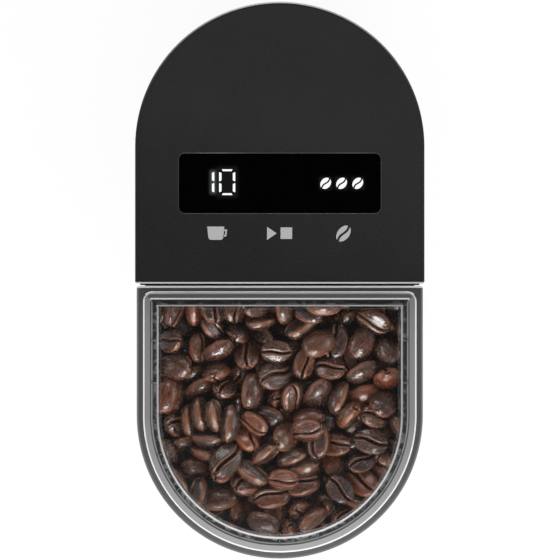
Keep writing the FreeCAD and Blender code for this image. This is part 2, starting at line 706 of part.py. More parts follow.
def make_container_lid():
    """A push-on lid with a collared mouth under the spout."""
    top = CONTAINER_TOP + CONTAINER_LID
    cap = round_at(d_block(CONTAINER_BODY, CONTAINER_TOP, top), EDGE_ROUND * 1.5, top)
    plug_out = CONTAINER_WALL + MOVE_GAP
    plug = d_ring(CONTAINER_BODY, plug_out, plug_out + CONTAINER_WALL, CONTAINER_TOP - CONTAINER_PLUG,
                  CONTAINER_TOP + FIT_GAP)
    collar = cylinder(LID_FUNNEL_R + LID_COLLAR_WALL, CONTAINER_TOP, top + LID_COLLAR_HEIGHT, 0, CHUTE_Y)
    lid = fuse_all([cap, plug, collar])
    mouth = Part.makeCone(LID_FUNNEL_R - LID_COLLAR_WALL, LID_FUNNEL_R, CONTAINER_LID + LID_COLLAR_HEIGHT,
                          Vector(0, CHUTE_Y, CONTAINER_TOP))
    return cut_all(lid, [mouth, cylinder(LID_FUNNEL_R - LID_COLLAR_WALL, CONTAINER_TOP - CUT_OVER, top, 0,
                                         CHUTE_Y)])


# Motor and gear train


def make_motor_can():
    nose = CASE_BOTTOM - MOTOR_NOSE
    can = cylinder(MOTOR_R, MOTOR_Z + MOTOR_END, CASE_BOTTOM, 0, MOTOR_Y)
    inside = cylinder(MOTOR_R - MOTOR_WALL, MOTOR_Z, nose, 0, MOTOR_Y)
    shaft_hole = cylinder(MOTOR_SHAFT_R + RUN_GAP, nose - CUT_OVER, CASE_BOTTOM + CUT_OVER, 0, MOTOR_Y)
    holes = [cylinder(SCREW_R + FIT_GAP, nose - CUT_OVER, CASE_BOTTOM + CUT_OVER, x, y)
             for x, y in motor_screw_spots()]
    return cut_all(can, [inside, shaft_hole] + holes)


def motor_screw_spots():
    return mirror_pairs(MOTOR_SCREW_OFFSET, MOTOR_Y)


def make_motor_end_bell():
    boss_z = MOTOR_Z - MOTOR_END
    disc = cylinder(MOTOR_R, MOTOR_Z, MOTOR_Z + MOTOR_END, 0, MOTOR_Y)
    boss = cylinder(COMMUTATOR_R, boss_z, MOTOR_Z + FIT_GAP, 0, MOTOR_Y)
    vents = [cylinder(COMMUTATOR_R / 3, MOTOR_Z - CUT_OVER, MOTOR_Z + MOTOR_END + CUT_OVER,
                      *polar(MOTOR_R * 0.65, 30 + 60 * k, 0, MOTOR_Y)) for k in range(6)]
    bore = cylinder(MOTOR_SHAFT_R + RUN_GAP, boss_z + CUT_OVER, MOTOR_Z + MOTOR_END + CUT_OVER, 0, MOTOR_Y)
    return cut_all(fuse_all([disc, boss]), vents + [bore])


def make_motor_magnets():
    """Two arc magnets bonded inside the can, either side of the armature."""
    outer = MOTOR_R - MOTOR_WALL - FIT_GAP
    ring = tube(outer, outer - MAGNET_THICK, ARMATURE_Z, ARMATURE_Z + ARMATURE_LENGTH, 0, MOTOR_Y)
    gap = outer * math.sin(math.radians(MAGNET_GAP_DEG / 2))
    middle = box(-MOTOR_R, MOTOR_R, MOTOR_Y - gap, MOTOR_Y + gap, MOTOR_Z, CASE_BOTTOM)
    return Part.makeCompound(ring.cut(middle).Solids)


def make_motor_brushes():
    """Brush holders that stand on the end bell, either side of the commutator."""
    half = BRUSH_WIDTH / 2
    low = MOTOR_Z + MOTOR_END
    inner = COMMUTATOR_R + MOVE_GAP
    outer = COMMUTATOR_R + 2 * BRUSH_WIDTH
    return Part.makeCompound([box(x0, x1, MOTOR_Y - half, MOTOR_Y + half, low, low + COMMUTATOR_LENGTH)
                              for x0, x1 in ((-outer, -inner), (inner, outer))])


def make_motor_screws():
    length = CASE_WALL + MOTOR_SCREW_LENGTH - MOTOR_NOSE
    return Part.makeCompound([screw(x, y, CASE_FLOOR_TOP, length, SCREW_R, SCREW_HEAD_R, SCREW_HEAD)
                              for x, y in motor_screw_spots()])


def make_motor_shaft():
    return cylinder(MOTOR_SHAFT_R, MOTOR_Z - MOTOR_END + 2 * CUT_OVER, STAGE1_TOP + GEAR_SIDE_GAP / 2, 0,
                    MOTOR_Y)


def make_motor_armature():
    """Slotted core, coil heads at both ends and the commutator, all on the motor shaft."""
    core_r = MOTOR_R - MOTOR_WALL - MAGNET_THICK - AIR_GAP
    core = cylinder(core_r, ARMATURE_Z, ARMATURE_Z + ARMATURE_LENGTH, 0, MOTOR_Y)
    slot = box(core_r - SLOT_DEPTH, core_r + CUT_OVER, MOTOR_Y - SLOT_WIDTH / 2, MOTOR_Y + SLOT_WIDTH / 2,
               ARMATURE_Z - CUT_OVER, ARMATURE_Z + ARMATURE_LENGTH + CUT_OVER)
    for k in range(ARMATURE_SLOTS):
        turned = slot.copy()
        turned.rotate(Vector(0, MOTOR_Y, 0), Vector(0, 0, 1), 360 * k / ARMATURE_SLOTS)
        core = core.cut(turned)
    low_coil = cylinder(COIL_R - SLOT_DEPTH / 2, ARMATURE_Z - COIL_HEIGHT, ARMATURE_Z, 0, MOTOR_Y)
    top = ARMATURE_Z + ARMATURE_LENGTH
    high_coil = cylinder(COIL_R - SLOT_DEPTH / 2, top, top + COIL_HEIGHT, 0, MOTOR_Y)
    low = ARMATURE_Z - COIL_HEIGHT
    commutator = cylinder(COMMUTATOR_R, low - COMMUTATOR_LENGTH, low, 0, MOTOR_Y)
    bore = cylinder(MOTOR_SHAFT_R + FIT_GAP, MOTOR_Z, CASE_BOTTOM, 0, MOTOR_Y)
    return fuse_all([core, low_coil, high_coil, commutator]).cut(bore)


def make_motor_pinion():
    teeth = gear(PINION_TEETH, MOTOR_MODULE, STAGE1_Z, STAGE1_TOP, 0, MOTOR_Y, tooth_deg=-90)
    return teeth.cut(cylinder(MOTOR_SHAFT_R + FIT_GAP, STAGE1_Z - CUT_OVER, STAGE1_TOP + CUT_OVER, 0,
                              MOTOR_Y))


def make_gear_case():
    case = case_block(CASE_OUTER, CASE_BOTTOM, CASE_TOP)
    case = case.cut(case_block(CASE_INNER, CASE_FLOOR_TOP, CASE_TOP + CUT_OVER))
    lugs = [cylinder(LUG_RADIUS, CASE_BOTTOM, CASE_TOP, x, y) for x, y in LUG_SPOTS]
    clear = case_block(CASE_INNER + CASE_WALL / 2, CASE_BOTTOM - CUT_OVER, CASE_TOP + CUT_OVER)
    lugs = [lug.cut(clear) for lug in lugs]
    boss = cylinder(BEARING_R + BEARING_BOSS, CASE_FLOOR_TOP - FIT_GAP, CASE_FLOOR_TOP + BEARING_WIDTH, 0,
                    BURR_Y)
    case = fuse_all([case, boss] + lugs)
    holes = [cylinder(SCREW_R + SCREW_GAP, CASE_BOTTOM - CUT_OVER, CASE_TOP + CUT_OVER, x, y)
             for x, y in LUG_SPOTS]
    holes += [cylinder(SCREW_R + SCREW_GAP, CASE_BOTTOM - CUT_OVER, CASE_FLOOR_TOP + CUT_OVER, x, y)
              for x, y in motor_screw_spots()]
    holes.append(cylinder(MOTOR_SHAFT_R + MOVE_GAP, CASE_BOTTOM - CUT_OVER, CASE_FLOOR_TOP + CUT_OVER, 0,
                          MOTOR_Y))
    holes.append(cylinder(IDLER_PIN_R + FIT_GAP, CASE_BOTTOM - CUT_OVER, CASE_FLOOR_TOP + CUT_OVER, 0,
                          IDLER_Y))
    holes.append(cylinder(BEARING_R + FIT_GAP, CASE_FLOOR_TOP, CASE_TOP, 0, BURR_Y))
    return cut_all(case, holes)


def make_drive_plate():
    """The thick plate over the gear case: it holds the upper bearing and, on an ear, the dial's post."""
    plate = case_block(CASE_OUTER, CASE_TOP, PLATE_TOP)
    ears = [cylinder(LUG_RADIUS, CASE_TOP, PLATE_TOP, x, y) for x, y in LUG_SPOTS]
    ear = box(0, DIAL_REACH, BURR_Y - DIAL_TAB_R, BURR_Y + DIAL_TAB_R, CASE_TOP, PLATE_TOP)
    ear.rotate(Vector(0, BURR_Y, 0), Vector(0, 0, 1), DIAL_ANGLE)
    ears.append(ear.fuse(cylinder(DIAL_TAB_R, CASE_TOP, PLATE_TOP, DIAL_X, DIAL_Y)))
    plate = fuse_all([plate] + ears)
    holes = [cylinder(SCREW_R + SCREW_GAP, CASE_TOP - CUT_OVER, PLATE_TOP + CUT_OVER, x, y)
             for x, y in LUG_SPOTS]
    holes.append(cylinder(BEARING_R + FIT_GAP, CASE_TOP + BEARING_LIP, PLATE_TOP + CUT_OVER, 0, BURR_Y))
    holes.append(cylinder(BEARING_R - BEARING_RING, CASE_TOP - CUT_OVER, PLATE_TOP, 0, BURR_Y))
    holes.append(cylinder(IDLER_PIN_R + FIT_GAP, CASE_TOP - CUT_OVER, CASE_TOP + BEARING_WIDTH / 2, 0,
                          IDLER_Y))
    holes += [cylinder(CHAMBER_SCREW_R + FIT_GAP, chamber_screw_tip(), PLATE_TOP + CUT_OVER, x, y)
              for x, y in chamber_screw_spots()]
    return cut_all(plate, holes)


def chamber_screw_spots():
    return [polar(CHAMBER_OUTER + CHAMBER_FLANGE / 2, angle, 0, BURR_Y) for angle in CHAMBER_SCREW_ANGLES]


def chamber_screw_tip():
    return CHAMBER_FLOOR_TOP - CHAMBER_SCREW_LENGTH


def make_drive_screws():
    length = PLATE_TOP - HEAD_BOTTOM - WALL / 4
    return Part.makeCompound([screw(x, y, PLATE_TOP, length, SCREW_R, SCREW_HEAD_R, SCREW_HEAD)
                              for x, y in LUG_SPOTS])


def make_drive_dampers():
    return Part.makeCompound([tube(DAMPER_RADIUS, SCREW_R + SCREW_GAP, HEAD_FLOOR_TOP, CASE_BOTTOM, x, y)
                              for x, y in LUG_SPOTS])


def make_idler_gear():
    """Two gears in one piece: the motor pinion drives the large one, the small one the burr gear."""
    large = gear(IDLER_TEETH, MOTOR_MODULE, STAGE1_Z, STAGE1_TOP, 0, IDLER_Y, gap_deg=90)
    small = gear(IDLER_PINION_TEETH, BURR_MODULE, STAGE1_TOP, STAGE2_TOP, 0, IDLER_Y, tooth_deg=-90)
    bore = cylinder(IDLER_PIN_R + RUN_GAP, STAGE1_Z - CUT_OVER, STAGE2_TOP + CUT_OVER, 0, IDLER_Y)
    return fuse_all([large, small]).cut(bore)


def make_idler_pin():
    return cylinder(IDLER_PIN_R, CASE_BOTTOM, CASE_TOP + BEARING_WIDTH / 2, 0, IDLER_Y)


def make_burr_gear():
    teeth = gear(BURR_GEAR_TEETH, BURR_MODULE, STAGE2_Z, STAGE2_TOP, 0, BURR_Y, gap_deg=90)
    bore = cylinder(BURR_SHAFT_R + FIT_GAP, STAGE2_Z - CUT_OVER, STAGE2_TOP + CUT_OVER, 0, BURR_Y)
    return teeth.cut(bore)


# Burrs


def make_burr_shaft():
    return cylinder(BURR_SHAFT_R, CASE_FLOOR_TOP + MOVE_GAP, LOWER_BURR_TOP, 0, BURR_Y)


def make_burr_nut():
    low = LOWER_BURR_Z
    nut = hexagon(BURR_SHAFT_R * 2, low, LOWER_BURR_TOP - MOVE_GAP, 0, BURR_Y)
    return nut.cut(cylinder(BURR_SHAFT_R + FIT_GAP, low - CUT_OVER, LOWER_BURR_TOP + CUT_OVER, 0, BURR_Y))


def make_burr_bearings():
    """Two ball bearings, each an outer ring, an inner ring and a shielded cage between them."""
    pieces = []
    for z in (CASE_FLOOR_TOP, CASE_TOP + BEARING_LIP):
        outer_in = BEARING_R - BEARING_RING
        inner_out = BURR_SHAFT_R + RUN_GAP + BEARING_RING
        top = z + BEARING_WIDTH
        pieces.append(tube(BEARING_R, outer_in, z, top, 0, BURR_Y))
        pieces.append(tube(inner_out, BURR_SHAFT_R + RUN_GAP, z, top, 0, BURR_Y))
        pieces.append(tube(outer_in - FIT_GAP, inner_out + FIT_GAP, z + BEARING_LIP / 2,
                           top - BEARING_LIP / 2, 0, BURR_Y))
    return Part.makeCompound(pieces)


def make_grind_chamber():
    """The cup round the burrs, with a flange to screw down, two keyways and an outlet at the front."""
    top = RING_Z - MOVE_GAP
    cup = tube(CHAMBER_OUTER, CHAMBER_R, PLATE_TOP, top, 0, BURR_Y)
    floor = tube(FLANGE_R, BURR_SHAFT_R + MOVE_GAP, PLATE_TOP, CHAMBER_FLOOR_TOP, 0, BURR_Y)
    cup = fuse_all([cup, floor])
    key_half = KEY_WIDTH / 2 + MOVE_GAP
    reach = CHAMBER_R + KEY_DEPTH + MOVE_GAP
    keyway = box(-reach, reach, BURR_Y - key_half, BURR_Y + key_half, UPPER_BURR_Z, top + CUT_OVER)
    outlet = box(-CHUTE_WIDTH / 2 + CHUTE_WALL, CHUTE_WIDTH / 2 - CHUTE_WALL,
                 BURR_Y - CHAMBER_OUTER - CUT_OVER, BURR_Y - CHAMBER_R / 2, chute_mouth_z(),
                 chute_mouth_z() + CHUTE_MOUTH - 2 * CHUTE_WALL)
    holes = [cylinder(CHAMBER_SCREW_R + SCREW_GAP, PLATE_TOP - CUT_OVER, CHAMBER_FLOOR_TOP + CUT_OVER, x, y)
             for x, y in chamber_screw_spots()]
    return cut_all(cup, [keyway, outlet] + holes)


def make_chamber_screws():
    return Part.makeCompound([screw(x, y, CHAMBER_FLOOR_TOP, CHAMBER_SCREW_LENGTH, CHAMBER_SCREW_R,
                                    CHAMBER_SCREW_HEAD_R, CHAMBER_SCREW_R)
                              for x, y in chamber_screw_spots()])


def chute_mouth_z():
    """Lowest height of the way from the chamber into the chute."""
    return CHAMBER_FLOOR_TOP + CHUTE_WALL + FIT_GAP


def make_grounds_chute():
    """A square duct from the chamber's outlet, then straight down through the head's floor."""
    half = CHUTE_WIDTH / 2
    low = chute_mouth_z() - CHUTE_WALL
    high = low + CHUTE_MOUTH
    spout = HEAD_BOTTOM - SPOUT_DROP
    duct = fuse_all([box(-half, half, CHUTE_FRONT, BURR_Y - CHAMBER_R / 2, low, high),
                     box(-half, half, CHUTE_FRONT, CHUTE_REAR, spout, high)])
    duct = duct.cut(cylinder(CHAMBER_OUTER + FIT_GAP, low - CUT_OVER, high + CUT_OVER, 0, BURR_Y))
    inner = half - CHUTE_WALL
    way = box(-inner, inner, CHUTE_FRONT + CHUTE_WALL, BURR_Y, low + CHUTE_WALL, high - CHUTE_WALL)
    drop = box(-inner, inner, CHUTE_FRONT + CHUTE_WALL, CHUTE_REAR - CHUTE_WALL, spout - CUT_OVER,
               high - CHUTE_WALL)
    return cut_all(duct, [way, drop])


def burr_ring(z0, teeth_up):
    """A hardened ring with grooves that lean off the radius, and three counterbored screw holes."""
    top = z0 + BURR_HEIGHT
    ring = tube(BURR_OUTER_R, BURR_INNER_R, z0, top, 0, BURR_Y)
    groove_z = top - GROOVE_DEPTH if teeth_up else z0 - CUT_OVER
    groove = box(BURR_INNER_R / 2, BURR_OUTER_R + CUT_OVER, BURR_Y + GROOVE_LEAN - GROOVE_WIDTH / 2,
                 BURR_Y + GROOVE_LEAN + GROOVE_WIDTH / 2, groove_z, groove_z + GROOVE_DEPTH + CUT_OVER)
    for k in range(BURR_GROOVES):
        turned = groove.copy()
        turned.rotate(Vector(0, BURR_Y, 0), Vector(0, 0, 1), 360 * k / BURR_GROOVES)
        ring = ring.cut(turned)
    seat = z0 + BURR_HEIGHT / 2
    well = (seat, top + CUT_OVER) if teeth_up else (z0 - CUT_OVER, seat)
    holes = []
    for x, y in burr_screw_spots():
        holes.append(cylinder(BURR_SCREW_R + SCREW_GAP, z0 - CUT_OVER, top + CUT_OVER, x, y))
        holes.append(cylinder(BURR_SCREW_HEAD_R + SCREW_GAP, *well, x, y))
    return cut_all(ring, holes)


def burr_screw_spots():
    return [polar((BURR_OUTER_R + BURR_INNER_R) / 2, angle, 0, BURR_Y) for angle in BURR_SCREW_ANGLES]


def make_burr_screws(z0, teeth_up, depth):
    seat = z0 + BURR_HEIGHT / 2
    length = BURR_HEIGHT / 2 + depth
    return Part.makeCompound([screw(x, y, seat, length, BURR_SCREW_R, BURR_SCREW_HEAD_R, BURR_SCREW_HEAD,
                                    teeth_up)
                              for x, y in burr_screw_spots()])


def make_lower_burr_carrier():
    """The turning disc under the lower burr, with sweepers that push the grounds to the outlet."""
    rim = CHAMBER_R - ROTOR_GAP
    disc = cylinder(rim, ROTOR_Z, LOWER_BURR_Z, 0, BURR_Y)
    blade = box(BURR_OUTER_R + MOVE_GAP, rim, BURR_Y - SWEEPER_THICK / 2, BURR_Y + SWEEPER_THICK / 2,
                LOWER_BURR_Z - FIT_GAP, LOWER_BURR_TOP)
    blades = []
    for angle in BURR_SCREW_ANGLES:
        turned = blade.copy()
        turned.rotate(Vector(0, BURR_Y, 0), Vector(0, 0, 1), angle)
        blades.append(turned)
    carrier = fuse_all([disc] + blades)
    holes = [cylinder(BURR_SCREW_R + FIT_GAP, ROTOR_Z + MOVE_GAP, LOWER_BURR_Z + CUT_OVER, x, y)
             for x, y in burr_screw_spots()]
    holes.append(cylinder(BURR_SHAFT_R + FIT_GAP, ROTOR_Z - CUT_OVER, LOWER_BURR_TOP, 0, BURR_Y))
    return cut_all(carrier, holes)


def make_upper_burr_carrier():
    """The sleeve over the upper burr: beans fall through it, and two keys stop it turning."""
    outer = CHAMBER_R - 2 * MOVE_GAP
    sleeve = cylinder(outer, CARRIER_Z, CARRIER_TOP, 0, BURR_Y)
    reach = CHAMBER_R + KEY_DEPTH
    middle = CARRIER_Z + KEY_HEIGHT / 2
    keys = box(-reach, reach, BURR_Y - KEY_WIDTH / 2, BURR_Y + KEY_WIDTH / 2, middle - KEY_HEIGHT / 4,
               middle + KEY_HEIGHT / 2)
    sleeve = fuse_all([sleeve, keys])
    feed = cylinder(FEED_R, CARRIER_Z - CUT_OVER, CARRIER_TOP + CUT_OVER, 0, BURR_Y)
    mouth_z = CARRIER_TOP - (FEED_MOUTH_R - FEED_R)
    mouth = Part.makeCone(FEED_R, FEED_MOUTH_R, FEED_MOUTH_R - FEED_R, Vector(0, BURR_Y, mouth_z))
    holes = [cylinder(BURR_SCREW_R + FIT_GAP, CARRIER_Z - CUT_OVER, CARRIER_Z + CARRIER_DISC, x, y)
             for x, y in burr_screw_spots()]
    return cut_all(sleeve, [feed, mouth] + holes)


# Grind setting


def make_adjusting_ring():
    ring = gear(RING_TEETH, DIAL_MODULE, RING_Z, RING_TOP, 0, BURR_Y, gap_deg=DIAL_ANGLE)
    return ring.cut(cylinder(CHAMBER_R - MOVE_GAP, RING_Z - CUT_OVER, RING_TOP + CUT_OVER, 0, BURR_Y))


def make_grind_dial():
    """A thumb wheel: gear teeth below, and a knurled rim above that shows in the head's side window."""
    teeth = gear(DIAL_TEETH, DIAL_MODULE, RING_Z + MOVE_GAP, DIAL_DISC_Z, DIAL_X, DIAL_Y,
                 tooth_deg=DIAL_ANGLE + 180)
    disc = cylinder(DIAL_R, DIAL_DISC_Z, DIAL_DISC_TOP, DIAL_X, DIAL_Y)
    wheel = fuse_all([teeth, disc])
    knurls = [cylinder(KNURL_R, DIAL_DISC_Z - CUT_OVER / 4, DIAL_DISC_TOP + CUT_OVER,
                       *polar(DIAL_R, 360 * k / DIAL_KNURLS, DIAL_X, DIAL_Y)) for k in range(DIAL_KNURLS)]
    bore = cylinder(DIAL_PIN_R + RUN_GAP, RING_Z - CUT_OVER, DIAL_DISC_TOP + CUT_OVER, DIAL_X, DIAL_Y)
    return cut_all(wheel, knurls + [bore])


def make_dial_post():
    post = cylinder(DIAL_POST_R, PLATE_TOP, RING_Z, DIAL_X, DIAL_Y)
    pin = cylinder(DIAL_PIN_R, RING_Z - FIT_GAP, DIAL_DISC_TOP + MOVE_GAP, DIAL_X, DIAL_Y)
    return fuse_all([post, pin])


# Head


def make_head_shell():
    """The tub round the drive: open at the top, its floor pierced for the chute, the motor and the wires."""
    shell = body_block(0, HEAD_BOTTOM, DECK_Z)
    shell = round_at(shell, EDGE_ROUND, HEAD_BOTTOM)
    shell = shell.cut(body_block(WALL, HEAD_FLOOR_TOP, DECK_Z + CUT_OVER))
    bosses = [cylinder(DECK_BOSS_R, DECK_Z - DECK_BOSS_HEIGHT, DECK_Z, x, y) for x, y in DECK_SPOTS]
    bosses = [boss.common(body_block(WALL / 2, HEAD_BOTTOM, DECK_Z)) for boss in bosses]
    shell = fuse_all([shell] + bosses)
    below, above = HEAD_BOTTOM - CUT_OVER, HEAD_FLOOR_TOP + CUT_OVER
    half = CHUTE_WIDTH / 2 + FIT_GAP
    window = (DIAL_R + DIAL_WINDOW_MARGIN) * math.sqrt(0.75)
    holes = [box(-half, half, CHUTE_FRONT - FIT_GAP, CHUTE_REAR + FIT_GAP, below, above),
             cylinder(MOTOR_R + MOTOR_CLEARANCE / 2, below, above, 0, MOTOR_Y),
             cylinder(GLAND_R, below, above, 0, REAR_ARC_Y + TIE_ARC),
             box(DIAL_X, HALF_WIDTH + CUT_OVER, DIAL_Y - window, DIAL_Y + window,
                 DIAL_DISC_Z - DIAL_WINDOW_MARGIN, DIAL_DISC_TOP + DIAL_WINDOW_MARGIN)]
    holes += [cylinder(SCREW_R + FIT_GAP, below, above, x, y) for x, y in LUG_SPOTS]
    holes += [cylinder(TIE_ROD_R + SCREW_GAP, below, above, x, y) for x, y in TIE_SPOTS]
    holes += [cylinder(SCREW_R + FIT_GAP, DECK_Z - DECK_SCREW_LENGTH, DECK_Z + CUT_OVER, x, y)
              for x, y in DECK_SPOTS]
    return cut_all(shell, holes)


def peg_spots():
    return mirror_pairs(PEG_SIDE, BURR_Y - PEG_FRONT)


def switch_spot():
    """On the left, beside the burr axis and above the adjusting ring."""
    return (-DIAL_X, BURR_Y)


def make_hopper_deck():
    """The plate that closes the head: hopper in front, display housing behind."""
    deck = body_block(0, DECK_Z, DECK_TOP)
    below, above = DECK_Z - CUT_OVER, DECK_TOP + CUT_OVER
    holes = [cylinder(DECK_MOUTH_R, below, above, 0, BURR_Y).common(
        box(-HALF_WIDTH, HALF_WIDTH, FRONT_END, HOPPER_REAR - HOPPER_WALL, below, above))]
    holes.append(cylinder(GLAND_R, below, above, 0, REAR_ARC_Y))
    holes += [cylinder(SCREW_R + SCREW_GAP, below, above, x, y) for x, y in DECK_SPOTS + HOUSING_SPOTS]
    holes += [cylinder(SCREW_HEAD_R + SCREW_GAP, DECK_TOP - SCREW_HEAD, above, x, y) for x, y in DECK_SPOTS]
    holes += [cylinder(PEG_R + MOVE_GAP, below, above, x, y) for x, y in peg_spots() + [switch_spot()]]
    return cut_all(deck, holes)


def make_deck_screws():
    return Part.makeCompound([screw(x, y, DECK_TOP - SCREW_HEAD, DECK_SCREW_LENGTH, SCREW_R, SCREW_HEAD_R,
                                    SCREW_HEAD) for x, y in DECK_SPOTS])


def make_interlock_switch():
    """A small switch under the deck that a hopper peg presses, so the burrs stop when the hopper is off."""
    x, y = switch_spot()
    half = SWITCH_LENGTH / 2
    top = DECK_Z - SWITCH_DROP
    body = box(x - SWITCH_WIDTH / 2, x + SWITCH_WIDTH / 2, y - half, y + half, top - SWITCH_HEIGHT, top)
    post_r = SWITCH_WIDTH / 4
    posts = [cylinder(post_r, top - FIT_GAP, DECK_Z, x, y + way * (half - SWITCH_WIDTH / 2))
             for way in (-1, 1)]
    return fuse_all([body] + posts)


# Display housing


def rounded_plate(width, depth, corner, middle_y, z0, z1):
    plate = box(-width / 2, width / 2, middle_y - depth / 2, middle_y + depth / 2, z0, z1)
    upright = [e for e in plate.Edges if e.BoundBox.ZLength > (z1 - z0) / 2]
    return plate.makeFillet(corner, upright)


def make_display_housing():
    """The black cap over the rear half, with a sunk seat for the display window."""
    cap = d_block(REAR_BODY, DECK_TOP, TOP)
    cap = round_at(cap, EDGE_ROUND, TOP)
    cap = cap.cut(d_block(shrink(REAR_BODY, PANEL_LIP), PANEL_TOP, TOP + CUT_OVER))
    cap = cap.cut(d_block(shrink(REAR_BODY, WALL), DECK_TOP - CUT_OVER, COVER_UNDER))
    bosses = [cylinder(HOUSING_BOSS_R, DECK_TOP, DECK_TOP + HOUSING_BOSS_HEIGHT, x, y)
              for x, y in HOUSING_SPOTS]
    pillars = [cylinder(PILLAR_R, BOARD_TOP, COVER_UNDER + FIT_GAP, x, y) for x, y in PILLAR_SPOTS]
    ribs = [box(min(x, side * HALF_WIDTH), max(x, side * HALF_WIDTH), y - WALL / 2, y + WALL / 2, DECK_TOP,
                DECK_TOP + HOUSING_BOSS_HEIGHT).common(d_block(shrink(REAR_BODY, WALL / 2), DECK_TOP, TOP))
            for x, y in HOUSING_SPOTS for side in [math.copysign(1, x)]]
    cap = fuse_all([cap] + bosses + pillars + ribs)
    inner_width = WINDOW_WIDTH - 2 * WINDOW_LEDGE
    inner_depth = WINDOW_DEPTH - 2 * WINDOW_LEDGE
    holes = [rounded_plate(WINDOW_WIDTH, WINDOW_DEPTH, WINDOW_CORNER, WINDOW_Y, MODULE_TOP, TOP + CUT_OVER),
             rounded_plate(inner_width, inner_depth, WINDOW_CORNER / 2, WINDOW_Y, COVER_UNDER - CUT_OVER,
                           TOP)]
    holes += [cylinder(SCREW_R + FIT_GAP, DECK_TOP - CUT_OVER, DECK_TOP + HOUSING_SCREW_LENGTH - DECK_THICK,
                       x, y)
              for x, y in HOUSING_SPOTS]
    return cut_all(cap, holes)


def make_housing_screws():
    return Part.makeCompound([screw(x, y, DECK_Z, HOUSING_SCREW_LENGTH, SCREW_R, SCREW_HEAD_R, SCREW_HEAD,
                                    down=False)
                              for x, y in HOUSING_SPOTS])


def make_display_window():
    return rounded_plate(WINDOW_WIDTH - MOVE_GAP, WINDOW_DEPTH - MOVE_GAP, WINDOW_CORNER, WINDOW_Y,
                         MODULE_TOP, PANEL_TOP - WINDOW_SINK)


def make_digit_module():
    margin = WINDOW_LEDGE + 2 * MOVE_GAP
    half_width = WINDOW_WIDTH / 2 - margin
    half_depth = WINDOW_DEPTH / 2 - margin
    return box(-half_width, half_width, WINDOW_Y - half_depth, WINDOW_Y + half_depth, BOARD_TOP, MODULE_TOP)


def make_display_board():
    half = DISPLAY_BOARD_WIDTH / 2
    return box(-half, half, BOARD_FRONT, BOARD_REAR, BOARD_TOP - BOARD_THICK, BOARD_TOP)


def make_touch_pads():
    """Sprung contacts that carry each touch mark's place down to the board."""
    return Part.makeCompound([cylinder(TOUCH_PAD_R, BOARD_TOP, COVER_UNDER, k * MARK_SPACING, MARKS_Y)
                              for k in (-1, 0, 1)])


# Hopper and its lid


def funnel_cone(drop):
    """The space above the sloping hopper floor, moved down by drop."""
    rise = HOPPER_TOP + CUT_OVER - THROAT_Z
    return Part.makeCone(THROAT_R, THROAT_R + rise / math.tan(FUNNEL_SLOPE), rise,
                         Vector(0, BURR_Y, THROAT_Z - drop))


def make_hopper():
    """A smoked tub: straight walls with a thick rim, a sloping floor and a spigot over the burrs."""
    walls = d_ring(HOPPER_BODY, 0, HOPPER_WALL, DECK_TOP, HOPPER_TOP)
    rim = d_ring(HOPPER_BODY, HOPPER_WALL / 2, HOPPER_RIM, HOPPER_TOP - HOPPER_RIM_HEIGHT, HOPPER_TOP)
    sheet = HOPPER_WALL / math.cos(FUNNEL_SLOPE)
    floor = d_block(shrink(HOPPER_BODY, HOPPER_WALL / 2), DECK_TOP, HOPPER_TOP).common(funnel_cone(sheet))
    spigot = cylinder(THROAT_R + SPIGOT_WALL, SPIGOT_Z, THROAT_Z + SPIGOT_WALL, 0, BURR_Y)
    pegs = [cylinder(PEG_R, DECK_Z + MOVE_GAP, FILL_Z, x, y) for x, y in peg_spots()]
    pegs.append(cylinder(PEG_R, DECK_Z - SWITCH_DROP + MOVE_GAP, FILL_Z, *switch_spot()))
    solid = fuse_all([walls, rim, floor, spigot] + pegs)
    hollow = funnel_cone(0).common(d_block(shrink(HOPPER_BODY, HOPPER_WALL), DECK_TOP,
                                           HOPPER_TOP - HOPPER_RIM_HEIGHT))
    mouth = d_block(shrink(HOPPER_BODY, HOPPER_RIM), HOPPER_TOP - HOPPER_RIM_HEIGHT - CUT_OVER,
                    HOPPER_TOP + CUT_OVER)
    throat = cylinder(THROAT_R, SPIGOT_Z - CUT_OVER, THROAT_Z + CUT_OVER, 0, BURR_Y)
    return cut_all(solid, [hollow, mouth, throat])


def make_hopper_lid():
    """A clear lid: a flange on the rim, a sunk panel with a fine bead, a thin skirt inside the seal."""
    panel_top = HOPPER_TOP + LID_PANEL
    top = panel_top + LID_RECESS
    lid = round_at(d_block(shrink(LID_BODY, LID_INSET), HOPPER_TOP, top), LID_ROUND, top)
    lid = lid.cut(d_block(shrink(LID_BODY, LID_INSET + LID_FLANGE_WIDTH), panel_top, top + CUT_OVER))
    skirt = d_ring(LID_BODY, SKIRT_INSET, SKIRT_INSET + LID_SKIRT_WALL, HOPPER_TOP - LID_SKIRT,
                   panel_top + LID_BEAD_HEIGHT)
    return fuse_all([lid, skirt])


def make_lid_seal():
    """A soft flat ring round the lid's skirt, inside the hopper rim."""
    top = HOPPER_TOP
    return d_ring(LID_BODY, HOPPER_RIM + MOVE_GAP, SKIRT_INSET - FIT_GAP, top - SEAL_HEIGHT, top)


def bean_spots():
    """Places in centred rows, a bean's half length inside the heap's edge at its top."""
    half, rear, front, _ = shrink(HOPPER_BODY, HOPPER_WALL + BEAN_GAP + BEAN_LENGTH / 2)
    arc_y = front + half
    row_step = BEAN_PITCH * math.sqrt(0.75)
    spots = []
    for row in range(int((rear - front) / row_step) + 1):
        y = rear - row * row_step
        reach = math.sqrt(half ** 2 - max(arc_y - y, 0) ** 2)
        gaps = int(2 * reach / BEAN_PITCH)
        spots += [((k - gaps / 2) * BEAN_PITCH, y) for k in range(gaps + 1)]
    heap_reach = HEAP_TOP_R - BEAN_LENGTH / 2
    return [(x, y) for x, y in spots if math.hypot(x, y - BURR_Y) < heap_reach]


